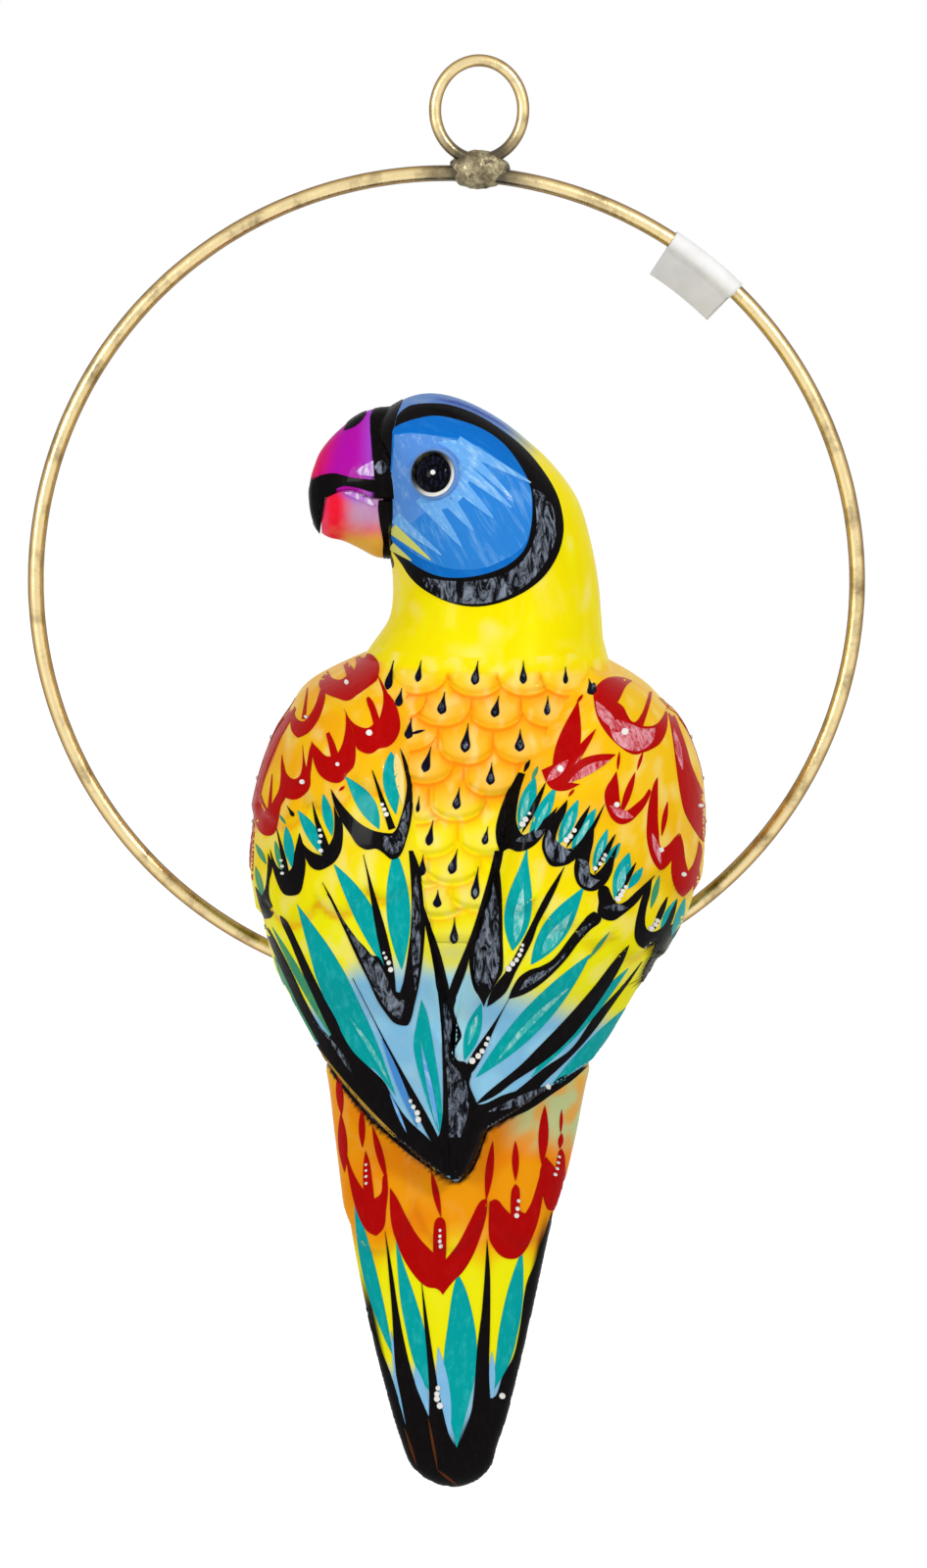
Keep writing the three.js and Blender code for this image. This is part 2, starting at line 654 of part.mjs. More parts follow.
function tierOutline(side, tier) {
  const inner = side < 0 ? LEFT_INNER_EDGE : RIGHT_INNER_EDGE;
  const tip = side < 0 ? LEFT_TIP : RIGHT_TIP;
  const outer = side * OUTSIDE;
  const shoulder = side < 0 ? [[outer, WING_TOP_Z]] : RIGHT_SHOULDER;
  if (tier === 2) return [...shoulder, ...inner, WING_MEETING, ...tip];
  const { from, to, feathers } = (side < 0 ? LEFT_ROWS : RIGHT_ROWS)[tier];
  const innerAbove = inner.filter(([, z]) => z > from[1] + SEAM);
  const row = featherRow(from, to, feathers, FEATHER_DROP);
  return [...shoulder, ...innerAbove, ...row, [outer, to[1]]];
}

// What the wing keeps, seen from the bird's side: its front edge swings back from the shoulder to the tip
function wingSide() {
  const besideRod = [-HOOP_ROD / 2 - WING_HOOP_CLEARANCE, WING_BESIDE_ROD_Z];
  const front = [...WING_FRONT_ABOVE, besideRod, ...WING_FRONT_BELOW];
  const low = WING_SECTIONS[0][0] - SEAM;
  return sidePrism([...front, [front.at(-1)[0], low], [-THROUGH, low], [-THROUGH, WING_TOP_Z]]);
}

function wingForm(rise) {
  const top = WING_SECTIONS.at(-1)[0];
  const rings = heights(WING_SECTIONS[0][0], top, 17).map((z) => {
    const tier = rise * THREE.MathUtils.smoothstep(top - z, -2, WING_TIER_FADE);
    return section(WING_SECTIONS, z, BODY_SQUARENESS, BODY_SIDES, tier);
  });
  return skin(rings);
}

function wing(side) {
  const tiers = WING_TIER_RISE.map((rise, tier) => {
    const outline = tierOutline(side, tier);
    return wingForm(rise).intersect(planPrism(outline));
  });
  return union(tiers)
    .intersect(wingSide())
    .subtract(bodyGrown)
    .subtract(tailForm(SEAM))
    .subtract(planPrism(meetingGap()));
}

// Thin slot that keeps the two wing tips apart
function meetingGap() {
  const [x] = WING_MEETING;
  const high = LEFT_INNER_EDGE.at(-1)[1] + SEAM;
  const low = WING_SECTIONS[0][0] - SEAM;
  return [[x - SEAM / 2, high], [x + SEAM, high], [x + SEAM, low], [x - SEAM / 2, low]];
}

// Feet

function toe(x, grow) {
  const bore = HOOP_ROD / 2 + FOOT_BORE_PLAY;
  const reach = bore + TOE_DIAMETER / 2;
  const steps = 9;
  const rings = [];
  for (let i = 0; i <= steps; i++) {
    const t = i / steps;
    const angle = THREE.MathUtils.degToRad(TOE_START + TOE_WRAP * t);
    const claw = Math.max(t - TOE_TAPER_FROM, 0) / (1 - TOE_TAPER_FROM);
    const taper = 1 - claw * (1 - TOE_TIP);
    const radius = (TOE_DIAMETER / 2) * taper + grow;
    const ring = [];
    for (let side = 0; side < TOE_SIDES; side++) {
      const turn = (side / TOE_SIDES) * 2 * Math.PI;
      const out = reach - (TOE_DIAMETER / 2) * (1 - taper) * CLAW_SINK + radius * Math.cos(turn);
      const across = x + radius * 1.04 * Math.sin(turn);
      ring.push(new THREE.Vector3(across, out * Math.sin(angle), out * Math.cos(angle)));
    }
    rings.push(ring);
  }
  return skin(rings);
}

function hoopHeight(x) {
  return HOOP_RADIUS - Math.sqrt(HOOP_RADIUS ** 2 - x ** 2);
}

function footForm(x, grow = 0) {
  const toes = Array.from({ length: TOES }, (_, i) => toe((i - (TOES - 1) / 2) * TOE_PITCH, grow));
  const palm = ellipsoid(PALM_MIDDLE, PALM_RADII.map((radius) => radius + grow), 12, 7);
  const lean = (Math.asin(x / HOOP_RADIUS) * 180) / Math.PI;
  return union([...toes, palm]).rotate([0, -lean, 0]).translate([x, 0, hoopHeight(x)]);
}

function foot(x) {
  return footForm(x).subtract(hoopInBird(FOOT_BORE_PLAY)).subtract(bodyGrown);
}

function thigh(x) {
  const lump = ellipsoid([x, THIGH_MIDDLE_Y, THIGH_HEIGHT + hoopHeight(x)], THIGH_RADII, 16, 10);
  return lump.subtract(footForm(x, SEAM)).subtract(hoopInBird(FOOT_BORE_PLAY)).subtract(bodyGrown);
}

// Assembly

const ornament = new THREE.Group();

const hangerPieces = new THREE.Group();
const hoop = piece("hoop", hoopRod(), "brass");
hoop.position.copy(hoopMiddle);
const tag = piece("paper_tag", paperTag(), "paper");
tag.position.copy(hoopMiddle);
hangerPieces.add(
  hoop,
  piece("hanging_eye", eyeRing(), "brass"),
  piece("braze_bead", brazeBead(), "braze"),
  tag,
);

const bird = new THREE.Group();
bird.position.set(hoopMiddle.x, 0, hoopMiddle.z - HOOP_RADIUS);

const headFull = headForm(NECK_JOINT_Z, HEAD_SECTIONS.at(-1)[0], SEAM, 10);
const upper = beakForm(0).subtract(belowGape(0));
const lower = beakForm(-LOWER_BEAK_INSET).intersect(belowGape(SEAM));

bird.add(
  piece("body_back_shell", shell.intersect(backHalf).add(mantleScales()), "yellow"),
  piece("body_front_shell", shell.intersect(frontHalf).subtract(ventHole()), "yellow"),
  piece("tail", tailForm(), "orange"),
  piece("head_shell", headShell(), "yellow"),
  piece("upper_beak", upper.subtract(headFull), "purple"),
  piece("lower_beak", lower.subtract(headFull), "coral"),
);

for (const [word, side] of [["left", -1], ["right", 1]]) {
  const footX = FOOT_MIDDLE_X + (side * FOOT_SPACING) / 2;
  bird.add(
    piece(word + "_wing", wing(side), "orange"),
    piece(word + "_thigh", thigh(footX), "yellow"),
    piece(word + "_foot", foot(footX), "grey"),
    piece(word + "_eye", eyePellet(side).subtract(headFull), "black"),
    piece(word + "_eye_ring", eyeLid(side).subtract(eyePellet(side, SEAM)).subtract(headFull), "white"),
  );
}

ornament.add(hangerPieces, bird);

export default ornament;
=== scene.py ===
"""Parrot ornament: a glazed clay parrot in a brass hoop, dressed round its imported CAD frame.

Lengths are millimetres in the bird's own frame until a mesh is made, and metres after that.
The bird's frame has its origin at the middle of the rod at the hoop's lowest point.
"""

import math

import bpy
import numpy as np
from mathutils import Matrix, Vector, noise
from mathutils.bvhtree import BVHTree
from mathutils.geometry import delaunay_2d_cdt


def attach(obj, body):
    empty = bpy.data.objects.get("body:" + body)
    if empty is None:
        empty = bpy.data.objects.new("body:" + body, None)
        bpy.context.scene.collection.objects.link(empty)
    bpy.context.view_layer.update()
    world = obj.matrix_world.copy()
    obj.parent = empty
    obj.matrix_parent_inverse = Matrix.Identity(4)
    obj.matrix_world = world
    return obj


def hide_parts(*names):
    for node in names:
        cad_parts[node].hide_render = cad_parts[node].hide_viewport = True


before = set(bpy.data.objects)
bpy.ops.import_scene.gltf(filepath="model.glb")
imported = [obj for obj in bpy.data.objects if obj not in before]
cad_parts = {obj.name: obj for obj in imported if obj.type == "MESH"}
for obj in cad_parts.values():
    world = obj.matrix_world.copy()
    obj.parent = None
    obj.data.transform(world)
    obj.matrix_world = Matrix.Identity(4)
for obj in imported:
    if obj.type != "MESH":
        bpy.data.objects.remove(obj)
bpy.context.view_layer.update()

MM = 0.001

# Hoop and eye, as in the CAD
HOOP_RADIUS = 116.5
HOOP_ROD = 4.5
EYE_ROD = 3.4
EYE_INNER_WIDTH = 21.2
EYE_INNER_HEIGHT = 24
EYE_OFFSET = 9.2
METAL_GAP = 0.2
HOOP_TOP_Z = -EYE_INNER_HEIGHT - EYE_ROD - METAL_GAP
HOOP_MIDDLE_Z = HOOP_TOP_Z - HOOP_ROD / 2 - math.sqrt(HOOP_RADIUS**2 - EYE_OFFSET**2)
BRAZE_Z = -EYE_INNER_HEIGHT - EYE_ROD - HOOP_ROD / 4
HEAT_NEAR, HEAT_FAR = 10, 21  # how far from the braze the metal is discoloured
BIRD_ORIGIN = np.array([-EYE_OFFSET, 0, HOOP_MIDDLE_Z - HOOP_RADIUS])

# Sections of the body: height, middle x, middle y, half width, half depth
BODY_SECTIONS = [
    [-139.7, 2, -29.3, 10.4, 5.2],
    [-128.6, 1, -29.8, 13, 6.6],
    [-118, 1, -30.2, 16.3, 7.2],
    [-90, 0.8, -31.6, 22.8, 8.8],
    [-62.6, 1.1, -32.8, 28.1, 11.4],
    [-35, 2.5, -33.9, 32.8, 15],
    [-16, 3.2, -34.2, 35.8, 19.5],
    [4, 3.9, -32, 41.5, 27.6],
    [18, 5.4, -29, 50, 36.2],
    [40, 8.2, -25, 56.5, 44.5],
    [58, 9.2, -23.2, 56, 45],
    [78, 9.2, -22.6, 48.5, 41],
    [91, 9.6, -22.2, 39, 35.5],
    [104, 12, -22, 32.1, 31],
    [111, 13.8, -22, 29.6, 28.6],
]
BODY_SQUARENESS = 2.3
NECK_SQUARENESS = 2.15
NECK_FROM_Z = 88  # from here up the body's section grows rounder
TAIL_TIP_DOME = 9
TAIL_JOINT_Z = -16
NECK_JOINT_Z = 104

WING_SECTIONS = [
    [-48, 1.6, -33.5, 32, 21.5],
    [-28, 2.6, -34, 36, 24.5],
    [-10, 3.4, -33.5, 42.5, 29],
    [4, 4.2, -32, 49, 34],
    [17.5, 5.3, -29, 54.6, 43],
    [31, 7.4, -26.5, 59.5, 48],
    [44.6, 7.9, -24.5, 61.5, 50.5],
    [65, 9.5, -23.4, 59.5, 49.5],
    [78, 9.8, -22.8, 55.2, 47],
    [84.8, 9.7, -22.5, 50.8, 45],
    [91.5, 8.8, -22.5, 45.4, 42],
    [96, 9.4, -22.5, 39.4, 38.5],
    [101, 11.5, -22.5, 32, 33],
]

HEAD_SECTIONS = [
    [91, 9.6, -22.2, 39, 35.5],
    [104, 12, -22, 32.1, 31],
    [111, 13.8, -22, 29.6, 28.6],
    [122, 13.7, -22, 28.6, 27],
    [135, 11.4, -22, 28.2, 27.5],
    [145, 9.2, -22, 26.8, 27.4],
    [155, 4.6, -22, 23.7, 25],
    [164, -1.2, -22, 19.6, 20.5],
    [173.4, -4.4, -22, 14.6, 15],
]
HEAD_MIDDLE_Y = -22
CROWN_DOME = 12

# Sections of the shut beak: x, middle y, middle z, half width, half height
BEAK_SECTIONS = [
    [-38.2, -22, 145, 4, 5],
    [-37, -22, 144.9, 5.4, 7.5],
    [-35.5, -22, 145.4, 7, 10.9],
    [-32.7, -22, 146.4, 9.2, 13.9],
    [-28.9, -22, 147.8, 11.2, 16.2],
    [-24.5, -22, 148.5, 13, 18.9],
    [-19, -22, 148.1, 14.6, 21.2],
    [-10, -22, 148.2, 15.6, 21.4],
]
BEAK_TIP_DOME = 1.2
LOWER_BEAK_INSET = 0.8
LOWER_BEAK_TIP_X = -34.6
GAPE_GAP = 0.3  # of the lower half under the line of the mouth
# Line where the two halves of the beak meet: x, height
GAPE = [
    [-35.6, 130], [-34.8, 138.3], [-33.4, 145.5], [-29.5, 147.6], [-26, 148.2], [-20.5, 146], [-10, 145.6],
]

# Inner and trailing edges of the wings: height, x
LEFT_INNER = [
    [-8, 4.2], [-4, 3.6], [4.3, 1.3], [18.1, -0.8], [31.9, -4.1], [48.3, -6.7],
    [70.2, -9.4], [81, -10.7], [101, -15],
]
RIGHT_INNER = [
    [-6, 2.3], [4.3, 3.1], [18.1, 5.4], [31.9, 9.4], [51.1, 13.4], [70.2, 17.4],
    [81, 28.1], [95, 36.1], [101, 40],
]
LEFT_TRAIL = [
    [-43.6, 1.4], [-39.8, -4.2], [-32.8, -12.4], [-25.6, -21.9], [-17.3, -28.7],
    [-9.7, -35.2], [-3, -38.7], [3.6, -42.2], [10.3, -45.9], [15, -49], [45, -90],
]
RIGHT_TRAIL = [
    [-43.6, 3.3], [-40.8, 6.7], [-33.8, 9.5], [-28.2, 11.4], [-22.6, 20.4], [-17, 28.5],
    [-9.7, 42.1], [-3, 46.9], [3.6, 50.6], [10.3, 54.4], [14.4, 59], [40, 90],
]
# Top of the right shoulder, which droops: height, x
RIGHT_SHOULDER = [[84, 64], [90.6, 58], [93.6, 53], [96.5, 47], [99, 40.8], [101, 38]]
# Front edge of both wings, seen from the side: height, y
WING_FRONT = [[-60, -34], [-15, -34], [8, -12.45], [28, -4.45], [62, 4], [86, 4], [101, -6]]


# Curves and sections


def smooth(rows, at):
    """Smooth curve through rows of numbers, read at values of the rows' first number."""
    rows = np.array(rows, float)
    at = np.clip(np.atleast_1d(np.asarray(at, float)), rows[0, 0], rows[-1, 0])
    slopes = np.empty_like(rows)
    slopes[1:-1] = (rows[2:] - rows[:-2]) / (rows[2:, :1] - rows[:-2, :1])
    slopes[0] = (rows[1] - rows[0]) / (rows[1, 0] - rows[0, 0])
    slopes[-1] = (rows[-1] - rows[-2]) / (rows[-1, 0] - rows[-2, 0])
    i = np.clip(np.searchsorted(rows[:, 0], at), 1, len(rows) - 1)
    p, q = rows[i - 1], rows[i]
    span = (q[:, 0] - p[:, 0])[:, None]
    t = ((at - p[:, 0]) / span[:, 0])[:, None]
    m0, m1 = slopes[i - 1] * span, slopes[i] * span
    t2, t3 = t * t, t * t * t
    return (2 * t3 - 3 * t2 + 1) * p + (t3 - 2 * t2 + t) * m0 + (3 * t2 - 2 * t3) * q + (t3 - t2) * m1


def straight(rows, at):
    """The same, along straight lines."""
    rows = np.array(rows, float)
    return np.interp(at, rows[:, 0], rows[:, 1])


def ease(low, high, value):
    """A soft step from 0 at low to 1 at high."""
    t = np.clip((np.asarray(value, float) - low) / (high - low), 0, 1)
    return t * t * (3 - 2 * t)


def section(rows, z, angle, squareness, rise=0.0, shrink=1.0):
    """Points of horizontal sections at heights z and angles, as an array that ends in x, y, z."""
    z, angle = np.broadcast_arrays(np.asarray(z, float), np.asarray(angle, float))
    found = smooth(rows, z.ravel()).reshape(z.shape + (-1,))
    x = found[..., 1] + (found[..., 3] * shrink + rise) * power(np.cos(angle), 2 / squareness)
    y = found[..., 2] + (found[..., 4] * shrink + rise) * power(np.sin(angle), 2 / squareness)
    return np.stack([x, y, z], -1)


def body_squareness(z):
    """How square the body's section is at a height; it grows rounder up the neck."""
    return BODY_SQUARENESS - (BODY_SQUARENESS - NECK_SQUARENESS) * ease(NECK_FROM_Z, NECK_JOINT_Z, z)


def power(value, exponent):
    """A power that keeps the value's sign."""
    return np.sign(value) * np.abs(value) ** exponent


def angle_of_x(rows, z, x):
    """Angle on the back at which a section reaches x."""
    found = smooth(rows, z)
    value = np.clip((x - found[:, 1]) / found[:, 3], -1, 1)
    return 2 * np.pi - np.arccos(power(value, BODY_SQUARENESS / 2))


def angle_of_y(rows, z, y, side):
    """Angle at which the side's flank of a section reaches y, counted past the back."""
    found = smooth(rows, z)
    value = np.clip((y - found[:, 2]) / found[:, 4], -1, 1)
    rise = np.arcsin(power(value, BODY_SQUARENESS / 2))
    return (np.pi - rise) if side < 0 else (2 * np.pi + rise)


def dome(distance, height):
    """Share of the full width at a distance from the end of a form with a round end."""
    return np.where(distance >= height, 1.0, np.sqrt(np.clip(1 - (1 - distance / height) ** 2, 0, 1)))


# Meshes


def grid_faces(rows, columns, wrap):
    """Quads of a grid of points; wrap joins the last column to the first."""
    faces = []
    for r in range(rows - 1):
        for c in range(columns - (0 if wrap else 1)):
            d = (c + 1) % columns
            faces.append((r * columns + c, r * columns + d, (r + 1) * columns + d, (r + 1) * columns + c))
    return faces


def tube_faces(rows, columns, start=True, end=True):
    """Faces round rows of points, with a flat cap on the first and on the last of them."""
    faces = grid_faces(rows, columns, True)
    if start:
        faces.append(tuple(reversed(range(columns))))
    if end:
        faces.append(tuple(range((rows - 1) * columns, rows * columns)))
    return faces


def ring_faces(rows, columns):
    """The same for a tube whose last row joins its first."""
    last = (rows - 1) * columns
    faces = grid_faces(rows, columns, True)
    return faces + [(last + c, last + (c + 1) % columns, (c + 1) % columns, c) for c in range(columns)]


def add_mesh(name, points, faces, material, replaces=(), body="bird"):
    """A smooth mesh on a body; the hanger's points are in the part's frame, and the bird's in its own."""
    mesh = bpy.data.meshes.new(name)
    placed = (np.asarray(points, float) + (BIRD_ORIGIN if body == "bird" else 0)) * MM
    mesh.from_pydata([tuple(p) for p in placed], [], faces)
    mesh.update()
    mesh.materials.append(material)
    mesh.polygons.foreach_set("use_smooth", [True] * len(mesh.polygons))
    made = bpy.data.objects.new(name, mesh)
    bpy.context.collection.objects.link(made)
    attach(made, body)
    if replaces:
        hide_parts(*replaces)
    return made


def turned_over(faces):
    """The same faces, seen from the other side."""
    return [tuple(reversed(face)) for face in faces]


def vertex_normals(points, faces):
    """Smooth normals at the points, from the triangles and quads round them."""
    total = np.zeros_like(points)
    for size in (3, 4):
        group = np.array([f for f in faces if len(f) == size], int)
        if not len(group):
            continue
        a, b, c, d = (points[group[:, k % size]] for k in range(4))
        normal = np.cross(b - a, c - a) if size == 3 else np.cross(c - a, d - b)
        for k in range(size):
            np.add.at(total, group[:, k], normal)
    length = np.linalg.norm(total, axis=1, keepdims=True)
    return total / np.where(length > 0, length, 1)


# Materials


class Nodes:
    """A material's node tree, with short calls for the nodes used here."""

    def __init__(self, name):
        self.material = bpy.data.materials.new(name)
        self.material.use_nodes = True
        self.tree = self.material.node_tree
        self.tree.nodes.clear()
        self.output = self.tree.nodes.new("ShaderNodeOutputMaterial")

    def node(self, kind, **settings):
        made = self.tree.nodes.new(kind)
        for key, value in settings.items():
            setattr(made, key, value)
        return made

    def link(self, source, target):
        self.tree.links.new(source, target)

    def feed(self, value, socket):
        """Sets a number or a colour on a socket, or links another node's output to it."""
        if isinstance(value, (int, float)):
            socket.default_value = value
        elif isinstance(value, tuple):
            socket.default_value = (*value, 1)
        else:
            self.link(value, socket)

    def position(self):
        return self.node("ShaderNodeTexCoord").outputs["Object"]

    def noise(self, scale, detail=3.0, rough=0.5, vector=None, distort=0.0):
        made = self.node("ShaderNodeTexNoise")
        made.inputs["Scale"].default_value = scale
        made.inputs["Detail"].default_value = detail
        made.inputs["Roughness"].default_value = rough
        made.inputs["Distortion"].default_value = distort
        self.link(vector or self.position(), made.inputs["Vector"])
        return made.outputs["Fac"]

    def stretch(self, scale, turn=0.0):
        """Coordinates that stretch a pattern along z, after a turn about y in degrees."""
        made = self.node("ShaderNodeMapping", vector_type="TEXTURE")
        made.inputs["Scale"].default_value = [1 / value for value in scale]
        made.inputs["Rotation"].default_value = (0, math.radians(turn), 0)
        self.link(self.position(), made.inputs["Vector"])
        return made.outputs["Vector"]

    def near(self, centre, inner, outer):
        """1 within the inner distance of a point, falling to 0 at the outer one, with a ragged edge."""
        made = self.node("ShaderNodeVectorMath", operation="DISTANCE")
        self.link(self.position(), made.inputs[0])
        made.inputs[1].default_value = centre
        ragged = self.math("MULTIPLY_ADD", self.noise(400, 4, 0.6), 0.5 * inner)
        self.link(made.outputs["Value"], ragged.node.inputs[2])
        return self.grey_ramp(ragged, inner, outer, 1, 0)

    def facing(self):
        """0 where a surface faces the eye and 1 at its outline."""
        return self.node("ShaderNodeLayerWeight").outputs["Facing"]

    def ramp(self, fac, stops):
        made = self.node("ShaderNodeValToRGB")
        elements = made.color_ramp.elements
        while len(elements) < len(stops):
            elements.new(0.5)
        for element, (place, colour) in zip(elements, stops):
            element.position = place
            element.color = (*colour, 1)
        self.link(fac, made.inputs["Fac"])
        return made.outputs["Color"]

    def grey_ramp(self, fac, low, high, from_value=0.0, to_value=1.0):
        made = self.node("ShaderNodeMapRange")
        made.inputs["From Min"].default_value = low
        made.inputs["From Max"].default_value = high
        made.inputs["To Min"].default_value = from_value
        made.inputs["To Max"].default_value = to_value
        self.link(fac, made.inputs["Value"])
        return made.outputs["Result"]

    def mix(self, fac, a, b, blend_type="MIX"):
        made = self.node("ShaderNodeMix", data_type="RGBA", blend_type=blend_type)
        for value, socket in ((fac, made.inputs[0]), (a, made.inputs[6]), (b, made.inputs[7])):
            self.feed(value, socket)
        return made.outputs[2]

    def math(self, operation, a, b=0.0):
        made = self.node("ShaderNodeMath", operation=operation)
        self.feed(a, made.inputs[0])
        self.feed(b, made.inputs[1])
        return made.outputs[0]

    def bump(self, height, strength, distance):
        made = self.node("ShaderNodeBump")
        made.inputs["Strength"].default_value = strength
        made.inputs["Distance"].default_value = distance
        self.link(height, made.inputs["Height"])
        return made.outputs["Normal"]

    def surface(self, colour, roughness=0.5, normal=None, **values):
        shader = self.node("ShaderNodeBsdfPrincipled")
        self.feed(colour, shader.inputs["Base Color"])
        self.feed(roughness, shader.inputs["Roughness"])
        for key, value in values.items():
            shader.inputs[key.replace("_", " ")].default_value = value
        if normal:
            self.link(normal, shader.inputs["Normal"])
        self.link(shader.outputs[0], self.output.inputs["Surface"])
        return self.material


def srgb(code):
    """A linear colour from a six-digit sRGB code."""
    parts = [int(code[i : i + 2], 16) / 255 for i in (0, 2, 4)]
    return tuple(c / 12.92 if c <= 0.04045 else ((c + 0.055) / 1.055) ** 2.4 for c in parts)


# sRGB codes of the ground colours
# ff8c0c is a painted shade in creases, 220806 also a painted shadow under the wings, a054e0 and c49ccc beak
# highlights
CODES = {
    "yellow": "ffec00", "bright_yellow": "fff80c", "warm": "ffba10", "orange": "ffa20a",
    "painted_crease_shade": "ff8c0c", "deep_orange": "fa7c06", "dark_rim_and_shadow": "220806", "red": "b80202", "cream": "fff3a4",
    "sky": "7cc2f0", "pale_sky": "a8e4fb", "crown": "668fd0", "stripe": "2840a0", "black": "0a0808",
    "purple": "b90eac", "violet_shine": "a054e0", "magenta": "ea1a5e", "coral": "ff1c38", "rose": "ff4478",
    "amber": "f2bc4c", "pearl": "c49ccc", "white": "f6f4ee", "face_haze": "6c9fe6", "patina": "cbd495",
}
COLOURS = {name: srgb(code) for name, code in CODES.items()}


def varnish(nodes, strength=0.22):
    """Brushed varnish: fine streaks down the bird and a soft unevenness."""
    streaks = nodes.noise(900, 2, 0.5, nodes.stretch((1, 1, 0.25)))
    lumps = nodes.noise(140, 2, 0.5)
    height = nodes.math("ADD", nodes.math("MULTIPLY", streaks, 0.35), lumps)
    return nodes.bump(height, strength, 0.0006)


GLAZE_LOOK = {"Specular_IOR_Level": 0.015, "Coat_Weight": 0.045, "Coat_Roughness": 0.06}


def glaze_material(name):
    """Hand-brushed ground colour, read from the mesh and broken up by brush strokes."""
    nodes = Nodes(name)
    colour = nodes.node("ShaderNodeAttribute", attribute_name="glaze").outputs["Color"]
    strokes = nodes.noise(260, 3, 0.55, nodes.stretch((1, 1, 0.45)))
    patches = nodes.noise(75, 4, 0.65, nodes.stretch((1, 1, 0.7)), 0.6)
    darker = nodes.mix(nodes.grey_ramp(strokes, 0.45, 0.8, 0, 0.16), colour, (1.0, 0.78, 0.3), "MULTIPLY")
    lighter = nodes.mix(nodes.grey_ramp(patches, 0.54, 0.78, 0, 0.16), darker, COLOURS["cream"])
    rough = nodes.grey_ramp(nodes.noise(300), 0.3, 0.7, 0.26, 0.4)
    return nodes.surface(lighter, rough, varnish(nodes), **GLAZE_LOOK)


def paint_material(name, code, streak, amount=0.35, scale=500, rough=0.24, turn=0.0, run=0.4):
    """A brushed paint of one colour with lighter or darker strokes in it."""
    nodes = Nodes(name)
    strokes = nodes.noise(scale, 4, 0.6, nodes.stretch((1, 1, run), turn), 0.4)
    mixed = nodes.mix(nodes.grey_ramp(strokes, 0.5, 0.85, 0, amount), srgb(code), srgb(streak))
    wear = nodes.grey_ramp(nodes.noise(400), 0.3, 0.7, rough, rough + 0.14)
    return nodes.surface(mixed, wear, varnish(nodes), **GLAZE_LOOK)


def sheen_material(name, code, light, low=0.46, high=0.68, turn=0.0):
    """Paint with bright mottles: a painted sheen that stands for reflections of the lamps in the varnish."""
    nodes = Nodes(name)
    mottle = nodes.noise(460, 6, 0.75, nodes.stretch((1, 1, 0.35), turn), 1.2)
    mixed = nodes.mix(nodes.grey_ramp(mottle, low, high, 0, 0.9), srgb(code), srgb(light))
    return nodes.surface(mixed, 0.32, nodes.bump(mottle, 0.3, 0.0005), **GLAZE_LOOK)


def brass_material(name):
    """Brass with a painted shade, darker where it turns away from the eye, and with tarnish and heat marks
    near the braze.
    """
    nodes = Nodes(name)
    stops = [(0.1, srgb("e8d29e")), (0.38, srgb("ae8c50")), (0.7, srgb("583a1c"))]
    facing_shade = nodes.ramp(nodes.facing(), stops)
    tarnish = nodes.grey_ramp(nodes.noise(120, 4, 0.6), 0.5, 0.72, 0, 0.75)
    colour = nodes.mix(tarnish, facing_shade, srgb("6b5636"))
    heated = nodes.near((0, 0, BRAZE_Z * MM), HEAT_NEAR * MM, HEAT_FAR * MM)
    colour = nodes.mix(heated, colour, srgb("5c5444"))
    scratches = nodes.noise(1800, 2, 0.5, nodes.stretch((1, 1, 0.2)))
    rough = nodes.grey_ramp(nodes.noise(260), 0.3, 0.7, 0.22, 0.42)
    return nodes.surface(colour, rough, nodes.bump(scratches, 0.2, 0.0003), Metallic=1.0)


def braze_material(name):
    nodes = Nodes(name)
    stops = [(0.36, srgb("3a342a")), (0.5, srgb("7d7258")), (0.6, srgb("a89c7c")), (0.7, srgb("4c4234"))]
    colour = nodes.ramp(nodes.noise(230, 4, 0.6), stops)
    rough = nodes.grey_ramp(nodes.noise(500), 0.3, 0.7, 0.35, 0.6)
    return nodes.surface(colour, rough, nodes.bump(nodes.noise(700, 3), 0.6, 0.0006), Metallic=0.85)


def paper_material(name):
    nodes = Nodes(name)
    fibres = nodes.noise(2600, 3, 0.6)
    colour = nodes.ramp(nodes.noise(180, 3), [(0.3, srgb("f1f0ee")), (0.7, srgb("fbfbfa"))])
    return nodes.surface(colour, 0.75, nodes.bump(fibres, 0.25, 0.0002))


GLAZE = glaze_material("hand_brushed_glaze")
